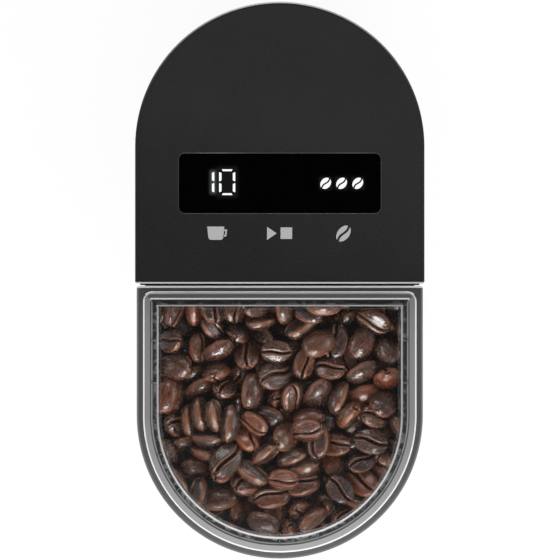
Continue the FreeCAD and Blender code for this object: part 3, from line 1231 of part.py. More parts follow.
def make_bean(x, y, z, degrees):
    """A bean as an egg that lies on its side: half an ellipse, turned round its long axis."""
    ellipse = Part.Ellipse(Vector(0, 0, 0), BEAN_LENGTH / 2, BEAN_WIDTH / 2)
    half = Part.ArcOfEllipse(ellipse, 0, math.pi).toShape()
    axis = line((-BEAN_LENGTH / 2, 0), (BEAN_LENGTH / 2, 0))
    egg = Part.Face(Part.Wire([half, axis])).revolve(Vector(0, 0, 0), Vector(1, 0, 0), 360)
    egg.rotate(Vector(0, 0, 0), Vector(0, 0, 1), degrees)
    egg.translate(Vector(x, y, z))
    return egg


def make_coffee_beans():
    """The load of beans as one heap, clear of the hopper's walls and floor, with beans lying on top."""
    room = d_block(shrink(HOPPER_BODY, HOPPER_WALL + BEAN_GAP), THROAT_Z, HEAP_TOP)
    heap = room.common(funnel_cone(-HEAP_LIFT))
    beans = []
    for k, (x, y) in enumerate(bean_spots()):
        z = FILL_Z - BEAN_WIDTH / 2 - BEAN_STEP * (k % BEAN_LEVELS)
        beans.append(make_bean(x, y, z, BEAN_TURN_DEG * k))
    return heap.multiFuse(beans).removeSplitter()


PIECES = {
    "rubber_feet": make_rubber_feet(),
    "base_screws": make_base_screws(),
    "base_plate": make_base_plate(),
    "base_tub": make_base_tub(),
    "cord_gland": make_cord_gland(),
    "load_cell": make_load_cell(),
    "load_cell_screws": make_load_cell_screws(),
    "scale_frame": make_scale_frame(),
    "scale_plate": make_scale_plate(),
    "bay_wall": make_bay_wall(),
    "rear_cover": make_rear_cover(),
    "tie_rods": make_tie_rods(),
    "power_board": make_power_board(),
    "grounds_container": make_grounds_container(),
    "container_lid": make_container_lid(),
    "motor_can": make_motor_can(),
    "motor_end_bell": make_motor_end_bell(),
    "motor_magnets": make_motor_magnets(),
    "motor_brushes": make_motor_brushes(),
    "motor_screws": make_motor_screws(),
    "motor_shaft": make_motor_shaft(),
    "motor_armature": make_motor_armature(),
    "motor_pinion": make_motor_pinion(),
    "gear_case": make_gear_case(),
    "drive_plate": make_drive_plate(),
    "drive_screws": make_drive_screws(),
    "drive_dampers": make_drive_dampers(),
    "idler_gear": make_idler_gear(),
    "idler_pin": make_idler_pin(),
    "burr_gear": make_burr_gear(),
    "burr_shaft": make_burr_shaft(),
    "burr_nut": make_burr_nut(),
    "burr_bearings": make_burr_bearings(),
    "grind_chamber": make_grind_chamber(),
    "chamber_screws": make_chamber_screws(),
    "grounds_chute": make_grounds_chute(),
    "lower_burr_carrier": make_lower_burr_carrier(),
    "lower_burr": burr_ring(LOWER_BURR_Z, teeth_up=True),
    "lower_burr_screws": make_burr_screws(LOWER_BURR_Z, True, CARRIER_DISC / 2),
    "upper_burr": burr_ring(UPPER_BURR_Z, teeth_up=False),
    "upper_burr_screws": make_burr_screws(UPPER_BURR_Z, False, CARRIER_DISC / 2),
    "upper_burr_carrier": make_upper_burr_carrier(),
    "adjusting_ring": make_adjusting_ring(),
    "grind_dial": make_grind_dial(),
    "dial_post": make_dial_post(),
    "head_shell": make_head_shell(),
    "hopper_deck": make_hopper_deck(),
    "deck_screws": make_deck_screws(),
    "interlock_switch": make_interlock_switch(),
    "display_housing": make_display_housing(),
    "housing_screws": make_housing_screws(),
    "display_window": make_display_window(),
    "digit_module": make_digit_module(),
    "display_board": make_display_board(),
    "touch_pads": make_touch_pads(),
    "hopper": make_hopper(),
    "hopper_lid": make_hopper_lid(),
    "lid_seal": make_lid_seal(),
    "coffee_beans": make_coffee_beans(),
}

os.makedirs("parts", exist_ok=True)
for name, shape in PIECES.items():
    shape.exportStep(f"parts/{name}.step")
    print(f"{name}: {len(shape.Solids)} solids, valid {shape.isValid()}, volume {shape.Volume:.0f}")
print(f"{len(PIECES)} nodes, {WIDTH} x {LENGTH} x {TOP} mm")
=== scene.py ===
# %% [markdown]
# # A burr coffee grinder, seen from straight above
# The imported model holds every solid of the grinder, in metres and in one frame.
# Blender's work here is what a solid can't show: finishes, lit digits, printed marks and a hopper
# full of real beans.

# %% Load the imported model
import json
import bpy
import numpy as np
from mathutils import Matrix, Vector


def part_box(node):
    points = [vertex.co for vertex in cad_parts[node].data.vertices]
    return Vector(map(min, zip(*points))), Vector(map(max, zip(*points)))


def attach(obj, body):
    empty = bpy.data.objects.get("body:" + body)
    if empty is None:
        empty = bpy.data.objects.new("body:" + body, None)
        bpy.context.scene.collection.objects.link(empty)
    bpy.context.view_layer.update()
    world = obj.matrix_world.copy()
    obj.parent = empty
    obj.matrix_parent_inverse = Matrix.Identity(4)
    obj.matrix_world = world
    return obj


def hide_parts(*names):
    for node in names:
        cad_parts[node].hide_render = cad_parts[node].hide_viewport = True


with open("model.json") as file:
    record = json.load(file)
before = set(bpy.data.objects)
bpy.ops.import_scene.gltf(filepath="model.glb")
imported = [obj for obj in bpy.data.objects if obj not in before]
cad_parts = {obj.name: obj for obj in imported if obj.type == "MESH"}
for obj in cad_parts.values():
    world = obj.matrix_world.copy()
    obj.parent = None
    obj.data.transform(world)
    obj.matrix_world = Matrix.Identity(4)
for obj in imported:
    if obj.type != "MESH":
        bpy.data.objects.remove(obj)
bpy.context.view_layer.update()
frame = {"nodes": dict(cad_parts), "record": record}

MM = 0.001
scene = bpy.context.scene
scene.view_settings.view_transform = "Standard"

# %% [markdown]
# ## Places to build on
# A mark that sits on the panel must take its height from the panel, and the beans must take
# their room from the hopper. Reading those heights from the solids is safer than writing
# them down a second time, because they follow when the solids change.

# %% Read the heights and outlines of the solids
panel_low, panel_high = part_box("display_housing")
window_low, window_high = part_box("display_window")
hopper_low, hopper_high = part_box("hopper")
lid_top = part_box("hopper_lid")[1].z
bin_low, bin_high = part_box("grounds_container")
dial_low, dial_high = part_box("grind_dial")

PANEL_LIP = 0.1 * MM
panel_top = panel_high.z - PANEL_LIP
window_top = window_high.z
HALF_WIDTH = hopper_high.x
HOPPER_WALL = 2.4 * MM
arc_y = hopper_low.y + HALF_WIDTH
print("panel at", round(panel_top / MM, 2), "mm, window at", round(window_top / MM, 2), "mm")

# %% [markdown]
# ## Surfaces from grids
# Every new piece is a grid of points: rows along one parameter, columns along the other.
# Blender could make such shapes with its own primitives and the mouse, but a grid worked out
# in numpy is exact and quick. Four helpers do the common work: they join a grid's points
# into faces, turn a closed shape's faces outwards, gather shapes, and fill the mesh.

# %% Faces, joining and filling
def grid_faces(rows, columns, close_rows=False, close_columns=False):
    """Four-sided faces between neighbours of a grid that is numbered row by row."""
    row, column = np.meshgrid(np.arange(rows - (not close_rows)),
                              np.arange(columns - (not close_columns)), indexing="ij")
    next_row, next_column = (row + 1) % rows, (column + 1) % columns
    corners = [row * columns + column, next_row * columns + column,
               next_row * columns + next_column, row * columns + next_column]
    return np.stack(corners, -1).reshape(-1, 4)


def outward(points, groups):
    """The same faces, turned over if the volume they enclose comes out negative."""
    volume = 0.0
    for faces in groups:
        first = points[faces[:, 0]]
        for k in range(1, faces.shape[1] - 1):
            cross = np.cross(points[faces[:, k]], points[faces[:, k + 1]])
            volume += np.einsum("ij,ij->", first, cross)
    return groups if volume > 0 else [faces[:, ::-1] for faces in groups]


def join_shapes(shapes):
    """Several (points, face groups) as one, each shape's numbers raised past those before it."""
    points, groups, start = [], [], 0
    for some_points, some_groups in shapes:
        points.append(some_points)
        groups += [faces + start for faces in outward(some_points, some_groups)]
        start += len(some_points)
    return np.concatenate(points), groups


def fill_piece(name, shape, finish, body, smooth=True):
    """A mesh object at the origin from (points, face groups), riding on a body of the model."""
    points, groups = shape
    sides = np.concatenate([np.full(len(faces), faces.shape[1]) for faces in groups])
    corners = np.concatenate([faces.ravel() for faces in groups]).astype(np.int32)
    mesh = bpy.data.meshes.new(name)
    mesh.vertices.add(len(points))
    mesh.vertices.foreach_set("co", np.ravel(points).astype(np.float32))
    mesh.loops.add(int(sides.sum()))
    mesh.loops.foreach_set("vertex_index", corners)
    mesh.polygons.add(len(sides))
    mesh.polygons.foreach_set("loop_start", (np.cumsum(sides) - sides).astype(np.int32))
    mesh.polygons.foreach_set("use_smooth", np.full(len(sides), smooth))
    mesh.update(calc_edges=True)
    mesh.validate()
    mesh.materials.append(finish)
    piece = bpy.data.objects.new(name, mesh)
    scene.collection.objects.link(piece)
    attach(piece, body)
    print(name, "has", len(points), "points and", len(sides), "faces")
    return piece


print("a grid of 3 by 3 points has", len(grid_faces(3, 3)), "faces")

# %% [markdown]
# ## Two ways to sweep a shape
# Most small pieces here are one of two things. A plate is what lies between two edges, given
# a thickness: a digit's stroke, half a coffee bean, the side of a cup. A band is a profile
# carried round a closed line: a rim, a ring, a bead.

# %% Plates and bands
def plate(edge_a, edge_b, low, high):
    """A closed plate: at each step along two edges stand four corners, two at each height."""
    n = len(edge_a)
    corners = np.empty((n, 4, 3))
    corners[:, 0, :2] = corners[:, 3, :2] = edge_a
    corners[:, 1, :2] = corners[:, 2, :2] = edge_b
    corners[:, :2, 2] = low
    corners[:, 2:, 2] = high
    ends = np.array([[0, 1, 2, 3], [4 * n - 1, 4 * n - 2, 4 * n - 3, 4 * n - 4]])
    return corners.reshape(-1, 3), [grid_faces(n, 4, close_columns=True), ends]


def band(path, away, profile):
    """A closed band: point (i, j) is path i, moved profile j's first number along the
    direction away from the middle and set at profile j's second number in height."""
    points = np.empty((len(path), len(profile), 3))
    points[:, :, :2] = path[:, None] + away[:, None] * profile[None, :, :1]
    points[:, :, 2] = profile[None, :, 1]
    faces = grid_faces(len(path), len(profile), close_rows=True, close_columns=True)
    return points.reshape(-1, 3), [faces]


def round_rectangle(middle, half_x, half_y, radius, steps):
    """A line round a rectangle with round corners: the corner that a direction points to,
    plus the corner's radius along that direction. Returns the line and the directions."""
    turn = np.linspace(0, 2 * np.pi, steps, endpoint=False) + np.pi / steps
    away = np.stack([np.cos(turn), np.sin(turn)], -1)
    corner = np.sign(away) * (np.array([half_x, half_y]) - radius)
    return np.array(middle) + corner + radius * away, away


print("plates and bands ready")

# %% [markdown]
# ## Shader maths as Python
# A finish is a tree of nodes. Drawn by hand it is a page of boxes and wires; written with one
# small class it reads like arithmetic. A Wire is an output of a node. Adding or multiplying
# wires adds Math nodes, and the method add makes any other node.

# %% The Wire class
class Wire:
    """An output of a node. Sums, products and powers of wires add Math nodes to its tree."""

    def __init__(self, node, output=0):
        self.node = node
        self.socket = node.outputs[output] if node.outputs else None

    def add(self, kind, settings=None, inputs=None, output=0):
        """A node of any kind: its settings are set first, then its inputs are set or linked."""
        tree = self.node.id_data
        node = tree.nodes.new(kind)
        for name, value in (settings or {}).items():
            if name == "stops":
                while len(node.color_ramp.elements) < len(value):
                    node.color_ramp.elements.new(0.5)
                for stop, (position, colour) in zip(node.color_ramp.elements, value):
                    stop.position, stop.color = position, colour
            else:
                setattr(node, name, value)
        for name, value in (inputs or {}).items():
            if isinstance(value, Wire):
                tree.links.new(value.socket, node.inputs[name])
            else:
                node.inputs[name].default_value = value
        return Wire(node, output)

    def math(self, operation, other=0.0):
        """A Math node on this wire and another wire or number."""
        return self.add("ShaderNodeMath", {"operation": operation}, {0: self, 1: other})

    def math_from(self, operation, other):
        """The same with the other one first, for a number that stands left of the sign."""
        return self.add("ShaderNodeMath", {"operation": operation}, {0: other, 1: self})

    def __add__(self, other):
        return self.math("ADD", other)

    def __sub__(self, other):
        return self.math("SUBTRACT", other)

    def __rsub__(self, other):
        return self.math_from("SUBTRACT", other)

    def __mul__(self, other):
        return self.math("MULTIPLY", other)

    def __truediv__(self, other):
        return self.math("DIVIDE", other)

    def __pow__(self, other):
        return self.math("POWER", other)

    def __rpow__(self, other):
        return self.math_from("POWER", other)

    def __abs__(self):
        return self.math("ABSOLUTE")

    __radd__ = __add__
    __rmul__ = __mul__

    def clamp(self):
        """The value held between 0 and 1."""
        return self.add("ShaderNodeClamp", inputs={"Value": self})

    def over(self, edge, soft):
        """0 below an edge and 1 above it, with a soft step between."""
        return ((self - edge) / soft + 0.5).clamp()


def new_finish(name):
    """An empty material, and a wire of Object coordinates, which here are metres."""
    material = bpy.data.materials.new(name)
    material.use_nodes = True
    material.node_tree.nodes.clear()
    return material, Wire(material.node_tree.nodes.new("ShaderNodeTexCoord"), "Object")


print("wires ready")

# %% [markdown]
# ## The parts of a finish
# Four things come back in every finish: a noise of a known size, a blend of two colours, a
# bump from a height, and the surface itself. Sizes are given in millimetres, because that is
# how a maker thinks of grain: a spark-eroded mould leaves pits of a third of a millimetre.

# %% Noise, blends, bumps and surfaces
def grey(value):
    """A colour with the same value in red, green and blue."""
    return (value, value, value, 1.0)


def shade(colour, factor):
    """A colour made darker or lighter by a factor."""
    return tuple(min(1.0, channel * factor) for channel in colour[:3]) + (1.0,)


def noise(place, size_mm, detail=2.0, stretch=None):
    """A cloud of values round one half whose lumps are about size_mm across."""
    if stretch:
        place = place.add("ShaderNodeMapping", inputs={"Vector": place, "Scale": stretch})
    return place.add("ShaderNodeTexNoise", inputs={
        "Vector": place, "Scale": 1.0 / (size_mm * MM), "Detail": detail})


def blend(amount, first, second):
    """A colour between two, chosen by a wire from 0 to 1."""
    return amount.add("ShaderNodeMix", {"data_type": "RGBA"}, {0: amount, 6: first, 7: second}, 2)


def bump(height, depth_mm, strength=1.0):
    """Normals tilted as a height from 0 to 1 would tilt them, if 1 stood depth_mm high."""
    return height.add("ShaderNodeBump", inputs={
        "Strength": strength, "Distance": depth_mm * MM, "Height": height})


def surface(place, **sockets):
    """A Principled surface, with each socket's name written with underscores for spaces."""
    inputs = {name.replace("_", " "): value for name, value in sockets.items()}
    inputs = {name.replace("Ior", "IOR"): value for name, value in inputs.items()}
    return place.add("ShaderNodeBsdfPrincipled", inputs=inputs)


def close(place, shader):
    """The end of a finish: its shader goes to the material's output."""
    place.add("ShaderNodeOutputMaterial", inputs={"Surface": shader})


def axes(place):
    """The three coordinates of a place as separate wires."""
    node = place.add("ShaderNodeSeparateXYZ", inputs={"Vector": place}).node
    return Wire(node, 0), Wire(node, 1), Wire(node, 2)


print("finish helpers ready")

# %% [markdown]
# ## Moulded plastic
# The panel, the head, the base and most of the works are injection moulded. The mould's
# texture leaves a fine grain that breaks up the light, and the skin is never quite one
# colour. One function makes them all: a fine noise drives bump and roughness, a broad one
# drifts the tone. It could be done with one flat colour, but that looks like a drawing. A table
# gives each finish its colour, grain, depth of grain, roughness and gloss.

# %% Moulded plastic finishes
DRIFT_MM = 45.0


def moulded_tone(place, grain_mm, dark, pale):
    """The fine grain, and a tone between two colours, two parts drift to one part grain."""
    fine, broad = noise(place, grain_mm, 2.0), noise(place, DRIFT_MM, 3.0)
    return fine, blend(broad * 0.65 + fine * 0.35, dark, pale)


def moulded(name, colour, grain_mm, depth_mm, roughness, gloss=0.4):
    """Tone = broad drift and fine grain; roughness and bump follow the grain."""
    material, place = new_finish(name)
    fine, tone = moulded_tone(place, grain_mm, shade(colour, 0.78), shade(colour, 1.22))
    close(place, surface(place, Base_Color=tone, Roughness=fine * 0.16 + (roughness - 0.08),
                         Specular_IOR_Level=gloss, Normal=bump(fine, depth_mm)))
    return material


MOULDED = {
    "base_plastic": ((0.0125, 0.0125, 0.013, 1), 0.6, 0.02, 0.5, 0.25),
    "lid_plastic": ((0.03, 0.03, 0.032, 1), 0.5, 0.012, 0.38),
    "end_bell": ((0.05, 0.045, 0.04, 1), 0.8, 0.02, 0.55),
    "case_plastic": ((0.16, 0.16, 0.155, 1), 0.7, 0.02, 0.5),
    "dial_plastic": ((0.035, 0.035, 0.037, 1), 0.3, 0.01, 0.4),
    "gear_nylon": ((0.62, 0.58, 0.48, 1), 1.2, 0.006, 0.42),
    "digits": ((0.6, 0.6, 0.58, 1), 0.5, 0.006, 0.5),
}
finishes = {name: moulded(name, *look) for name, look in MOULDED.items()}
print(len(finishes), "moulded finishes")

# %% [markdown]
# ## The head's printed scale
# The head shell is moulded like the rest, but below the dial's opening it carries a printed
# row of short lines, so the hand knows how far the dial has turned. Print has no thickness
# to speak of, so it belongs in the finish: where a point lies inside the row and near the
# middle of a step, the colour turns pale. The fifth lines are longer.

# %% Body plastic with a dial scale
SCALE_STEP, SCALE_GAP, SCALE_LINE = 2.4 * MM, 1.8 * MM, 2.2 * MM
SCALE_HALF, FIFTH_LONGER = 5.5, 0.6
STROKE_HALF, STROKE_SOFT = 0.09, 0.06
DIAL_OPENING = 9.9 * MM
PRINT_EDGE = 0.1 * MM


def body_plastic():
    """Moulded plastic whose tone turns pale on thin upright lines spaced evenly along Y."""
    material, place = new_finish("body_plastic")
    x, y, z = axes(place)
    middle_y = (dial_low.y + dial_high.y) / 2
    step = (y - middle_y) / SCALE_STEP
    nearest = step.math("ROUND")
    line = 1.0 - abs(step - nearest).over(STROKE_HALF, STROKE_SOFT)
    fives = nearest / 5.0
    fifth = 1.0 - abs(fives - fives.math("ROUND")).over(0.05, 0.01)
    drop = dial_high.z - DIAL_OPENING - SCALE_GAP - z
    tall = (fifth * FIFTH_LONGER + 1.0) * SCALE_LINE
    inside = drop.over(0.0, PRINT_EDGE) * (1.0 - (drop - tall).over(0.0, PRINT_EDGE))
    row = inside * line * (1.0 - abs(step).over(SCALE_HALF, 0.1)) * x.over(0.5 * HALF_WIDTH, MM)
    fine, tone = moulded_tone(place, 0.4, grey(0.01), grey(0.018))
    close(place, surface(place, Base_Color=blend(row, tone, grey(0.45)), Specular_IOR_Level=0.25,
                         Roughness=fine * 0.16 + 0.38, Normal=bump(fine, 0.012)))
    return material


finishes["body_plastic"] = body_plastic()
print("dial scale below", round((dial_high.z - DIAL_OPENING) / MM, 1), "mm")

# %% [markdown]
# ## The control panel
# The panel is the face of the grinder. Its grained black is deepest low on the left and lifts a
# little towards the upper right, which is painted light. Its lip carries painted light too: a
# painted highlight along the straight front edge, with a line of painted shade behind it, and the
# same pair along the round rear edge, strongest at its top. The lines come from two distances, how
# far a point is from the front edge and the arc.

# %% Panel plastic with painted light on its lip
FRONT_HIGHLIGHT, FRONT_SHADE_LINE, REAR_HIGHLIGHT, REAR_SHADE_LINE = 0.7 * MM, 1.25 * MM, 0.75 * MM, 1.3 * MM
FADE = 0.2 * MM
FALLOFF_REACH, SIDE_SHARE = 70 * MM, 0.35
FALLOFF_PART, DRIFT_PART, GRAIN_PART, DEEPER = 0.62, 0.4, 1.1, 0.57


def panel_plastic():
    """Grained black with painted light that lifts with y and less with x, and painted highlight and
    shade lines by distance from its edges.
    """
    material, place = new_finish("panel_plastic")
    x, y, z = axes(place)
    fine, broad, grain = noise(place, 0.35, 2.0), noise(place, 20.0, 4.0), noise(place, 0.8, 1.0)
    # Painted light: the black turns lighter towards the rear and the right.
    light_falloff = ((y + x * SIDE_SHARE) / FALLOFF_REACH).clamp()
    paler = light_falloff * FALLOFF_PART + broad * DRIFT_PART + grain * GRAIN_PART - DEEPER
    tone = blend(paler, grey(0.003), grey(0.0142))
    on_top = z.over(panel_top - MM, FADE)
    from_front = y - panel_low.y
    # Along the straight front edge: a line of painted shade, then a painted highlight on the edge
    # itself.
    tone = blend((1.0 - from_front.over(FRONT_SHADE_LINE, FADE)) * on_top, tone, grey(0.002))
    tone = blend((1.0 - from_front.over(FRONT_HIGHLIGHT, FADE)) * on_top, tone, grey(0.28))
    behind = (y - (panel_high.y - HALF_WIDTH)).math("MAXIMUM")
    inset = HALF_WIDTH - (x * x + behind * behind) ** 0.5
    rear_edge_light = (behind / HALF_WIDTH) ** 3.0 * on_top
    # Along the round rear edge: painted shade, then a painted highlight, strongest where the edge
    # faces the rear.
    tone = blend((1.0 - inset.over(REAR_SHADE_LINE, FADE)) * rear_edge_light, tone, grey(0.004))
    tone = blend((1.0 - inset.over(REAR_HIGHLIGHT, FADE)) * rear_edge_light, tone, grey(0.5))
    close(place, surface(place, Base_Color=tone, Specular_IOR_Level=0.22,
                         Roughness=fine * 0.16 + 0.54, Normal=bump(fine, 0.01)))
    return material


finishes["panel_plastic"] = panel_plastic()
print("panel lip from", round(panel_low.y / MM, 2), "to", round(panel_high.y / MM, 2), "mm")

# %% [markdown]
# ## Rubber and foam
# Feet, dampers and the cord's gland are black rubber; the lid's seal is a softer one; the
# touch pads are conductive foam. All are dull, and dust clings to them, which shows as a
# paler bloom in patches.

# %% Rubber finishes
def rubbery(name, colour, pore_mm, depth_mm):
    """A dull surface with small pores and a pale bloom in broad patches."""
    material, place = new_finish(name)
    pores, bloom = noise(place, pore_mm, 3.0), noise(place, 14.0, 2.0)
    tone = blend((bloom - 0.35).clamp(), colour, shade(colour, 2.4))
    close(place, surface(place, Base_Color=tone, Roughness=bloom * 0.2 + 0.68,
                         Specular_IOR_Level=0.25, Normal=bump(pores, depth_mm)))
    return material


RUBBERS = {
    "rubber": ((0.016, 0.016, 0.017, 1), 0.5, 0.02),
    "seal_rubber": ((0.006, 0.006, 0.007, 1), 0.4, 0.01),
    "contact_foam": ((0.03, 0.03, 0.034, 1), 0.9, 0.1),
}
finishes.update({name: rubbery(name, *look) for name, look in RUBBERS.items()})
print(len(RUBBERS), "rubber finishes")

# %% [markdown]
# ## Metals
# Each metal is told apart by how it was made. Rolled plate and turned shafts carry fine
# parallel lines, so their noise is drawn out along one axis; screws are zinc plated and a
# little uneven; cut gears are oily; burrs are ground bright; castings are blasted.

# %% Metal finishes
def metal(name, colour, size_mm, stretch, roughness, depth_mm):
    """Drawn-out noise gives lines; a broad noise stains the colour and dulls the shine."""
    material, place = new_finish(name)
    lines, stain = noise(place, size_mm, 3.0, stretch), noise(place, 9.0, 3.0)
    tone = blend(stain * 0.6 + lines * 0.4, shade(colour, 0.72), shade(colour, 1.15))
    close(place, surface(place, Base_Color=tone, Metallic=1.0, Normal=bump(lines, depth_mm),
                         Roughness=stain * 0.14 + lines * 0.1 + (roughness - 0.12)))
    return material


ACROSS, UPRIGHT, EVEN = (0.03, 1.0, 1.0), (1.0, 1.0, 0.04), (1.0, 1.0, 1.0)
METALS = {
    "plate_steel": ((0.58, 0.57, 0.55, 1), 0.25, ACROSS, 0.32, 0.004),
    "shaft_steel": ((0.6, 0.6, 0.61, 1), 0.3, EVEN, 0.25, 0.003),
    "motor_steel": ((0.5, 0.5, 0.5, 1), 0.5, UPRIGHT, 0.38, 0.006),
    "gear_steel": ((0.36, 0.35, 0.34, 1), 0.6, EVEN, 0.34, 0.008),
    "burr_steel": ((0.55, 0.54, 0.53, 1), 0.4, EVEN, 0.28, 0.006),
    "screws": ((0.56, 0.57, 0.6, 1), 0.4, EVEN, 0.32, 0.004),
    "cast_aluminium": ((0.6, 0.61, 0.62, 1), 0.7, EVEN, 0.5, 0.03),
}
finishes.update({name: metal(name, *look) for name, look in METALS.items()})
print(len(METALS), "metal finishes")

# %% [markdown]
# ## The motor's windings and magnets
# Ferrite magnets are dark and grainy like stone. The armature is a stack of thin steel plates
# with copper wire laid in its slots. The wire is what shows, so its finish is fine strands in
# two tones of copper, one above the other and a little uneven.

# %% Ferrite and windings
STRAND = 0.6 * MM


def ferrite():
    """Dark grey in broad patches; a stony grain gives roughness and bump."""
    material, place = new_finish("magnets")
    grain, broad = noise(place, 0.5, 4.0), noise(place, 8.0, 2.0)
    tone = blend(broad, grey(0.02), grey(0.055))
    close(place, surface(place, Base_Color=tone, Roughness=grain * 0.2 + 0.55,
                         Normal=bump(grain, 0.03)))
    return material


def windings():
    """Copper strands: a fine wave along the height, bent by noise, between two coppers."""
    material, place = new_finish("armature")
    _, _, z = axes(place)
    wave = z * (2 * np.pi / STRAND) + noise(place, 3.0) * 4.0
    strand = wave.math("SINE") * 0.5 + 0.5
    tone = blend(strand, (0.2, 0.06, 0.02, 1), (0.62, 0.26, 0.1, 1))
    close(place, surface(place, Base_Color=tone, Metallic=1.0, Coat_Weight=0.5,
                         Roughness=strand * 0.1 + 0.3, Normal=bump(strand, 0.1)))
    return material


finishes["magnets"], finishes["armature"] = ferrite(), windings()
print("motor finishes made")

# %% [markdown]
# ## Circuit boards
# A board is glass fibre under green lacquer, with copper tracks that show through as paler
# lines. A Voronoi pattern with right-angled distance gives blocky tracks without a picture.

# %% Circuit board finish
TRACK_CELL, TRACKS_PER_CELL = 3.2 * MM, 6.0


def circuit_board():
    """Tracks stand where the distance from a cell's middle is between two whole steps."""
    material, place = new_finish("boards")
    tracks = place.add("ShaderNodeTexVoronoi", {"distance": "CHEBYCHEV", "feature": "F1"},
                       {"Vector": place, "Scale": 1 / TRACK_CELL, "Randomness": 0.6})
    steps = tracks * TRACKS_PER_CELL
    cell = abs(steps - steps.math("ROUND")).over(0.22, 0.1)
    tone = blend(cell, (0.01, 0.07, 0.03, 1), (0.035, 0.14, 0.06, 1))
    close(place, surface(place, Base_Color=tone, Roughness=noise(place, 0.5) * 0.2 + 0.25,
                         Normal=bump(cell, 0.03)))
    return material


finishes["boards"] = circuit_board()
print("board finish made")

# %% [markdown]
# ## Clear and smoked plastic
# The lid and the grounds container are clear, the hopper's wall is smoked. Real refraction is
# what makes clear plastic look clear, so the surface lets light through with plastic's index.
# Its shadow would come out solid black in a short render, so for shadow rays alone it is a plain
# filter. Wherever a finish asks for it, a matt share is mixed in, and its colour is painted light:
# pale painted highlights along the edges, and painted shade between them.

# %% Clear plastic with a matt share
PLASTIC_INDEX = 1.49
CLEAR_TINT, CLEAR_VEIL = (0.96, 0.965, 0.97, 1), grey(0.9)


def see_through(place, tint, veil, roughness, share=None, painted_tone=None):
    """Refracting plastic with fine scuffs, mixed by a share from 0 to 1 with a matt surface whose
    colour is painted light, and a plain tinted filter for shadow rays."""
    scuffs = noise(place, 2.5, 4.0, (1.0, 1.0, 0.2))
    tone = blend(noise(place, 30.0), tint, shade(tint, 0.94))
    body = surface(place, Base_Color=tone, Roughness=scuffs * 0.03 + roughness, Ior=PLASTIC_INDEX,
                   Transmission_Weight=1.0, Normal=bump(scuffs, 0.0008))
    if share:
        # The matt surface carries painted light: its colour is a painted highlight or painted
        # shade.
        matt = surface(place, Base_Color=painted_tone, Roughness=scuffs * 0.1 + 0.4,
                       Specular_IOR_Level=0.3)
        body = place.add("ShaderNodeMixShader", inputs={0: share, 1: body, 2: matt})
    plain = place.add("ShaderNodeBsdfTransparent", inputs={"Color": veil})
    shadow = place.add("ShaderNodeLightPath", output="Is Shadow Ray")
    close(place, place.add("ShaderNodeMixShader", inputs={0: shadow, 1: body, 2: plain}))


def clear_plastic():
    """Clear all over, for the grounds container."""
    material, place = new_finish("clear_plastic")
    see_through(place, CLEAR_TINT, CLEAR_VEIL, 0.0)
    return material


finishes["clear_plastic"] = clear_plastic()
print("clear plastic made")

# %% [markdown]
# ## Bands round the lid
# Seen from above, the lid is a set of thin bands that follow the hopper's outline, and most of them
# are painted light: a painted highlight on the outer edge, a grey flange painted lighter in front
# and darker behind, a painted highlight on the step, the dark seal under clear plastic, and a
# painted highlight on the bead over the skirt. One number tells them apart, the distance inwards
# from the outline, so each band is a stop on a ramp of that distance. The outline is a straight
# rear, two sides and a half circle in front; the lid's rear corners are round.

# %% Distance inwards from the outline
LID_CORNER = 7.0 * MM
BANDS_REACH = 12.0


def from_outline(x, y):
    """Distance from the sides and the round front, then from the straight rear."""
    ahead = (y - arc_y).math("MINIMUM")
    return HALF_WIDTH - (x * x + ahead * ahead) ** 0.5, hopper_high.y - y


def round_corners(side, rear):
    """Distance from the outline with round rear corners: radius minus the length of what each
    distance lacks to it, or the smaller distance where neither lacks any."""
    short_side, short_rear = LID_CORNER - side, LID_CORNER - rear
    deep = short_side.math("MAXIMUM", short_rear).math("MINIMUM")
    short_side, short_rear = short_side.math("MAXIMUM"), short_rear.math("MAXIMUM")
    return LID_CORNER - (short_side * short_side + short_rear * short_rear) ** 0.5 - deep


def toward_front(y):
    """0 at the rear and where the sides end, rising to 1 at the foremost point."""
    return ((arc_y - y) / HALF_WIDTH).clamp()


def along_rear(side, rear):
    """1 where the straight rear edge is nearer than the sides, with a soft step between."""
    return (side - rear).over(0.0, MM)


def bands(inset, stops):
    """A ramp of greys whose stops are given as (millimetres inwards, value)."""
    stops = [(inwards / BANDS_REACH, grey(value)) for inwards, value in stops]
    return inset.add("ShaderNodeValToRGB", {"stops": stops}, {"Fac": inset / (BANDS_REACH * MM)})


print("bands reach", BANDS_REACH, "mm inwards")

# %% The clear lid
VEIL = 0.0035
PAINTED_BAND_SHARE = ((3.6, 0.95), (3.9, 0.8), (6.1, 0.8), (6.3, 0.95), (7.25, 0.95), (7.45, 0.06),
              (9.25, 0.06), (9.45, 0.85), (9.9, 0.85), (10.1, VEIL), (10.7, VEIL),
              (10.85, 0.05), (11.2, 0.05), (11.35, VEIL))
EDGE_HIGHLIGHT_BANDS = ((3.6, 1.0), (3.8, 0.0))
BEAD_HIGHLIGHT_BANDS = ((8.6, 0.0), (8.8, 1.0))
STEP_PAINTED_BANDS = ((6.1, 0.0), (6.3, 1.0), (7.2, 1.0), (7.4, 0.0))
SIDE_STEP_HIGHLIGHT = ((6.6, 0.06), (6.8, 0.26), (7.1, 0.26), (7.3, 0.01))
REAR_STEP_HIGHLIGHT = ((6.75, 0.62), (6.95, 0.01))
SEAL_BANDS = ((7.4, 0.0), (7.6, 1.0), (9.1, 1.0), (9.3, 0.0))
REAR_SHIFT = 0.65 * MM


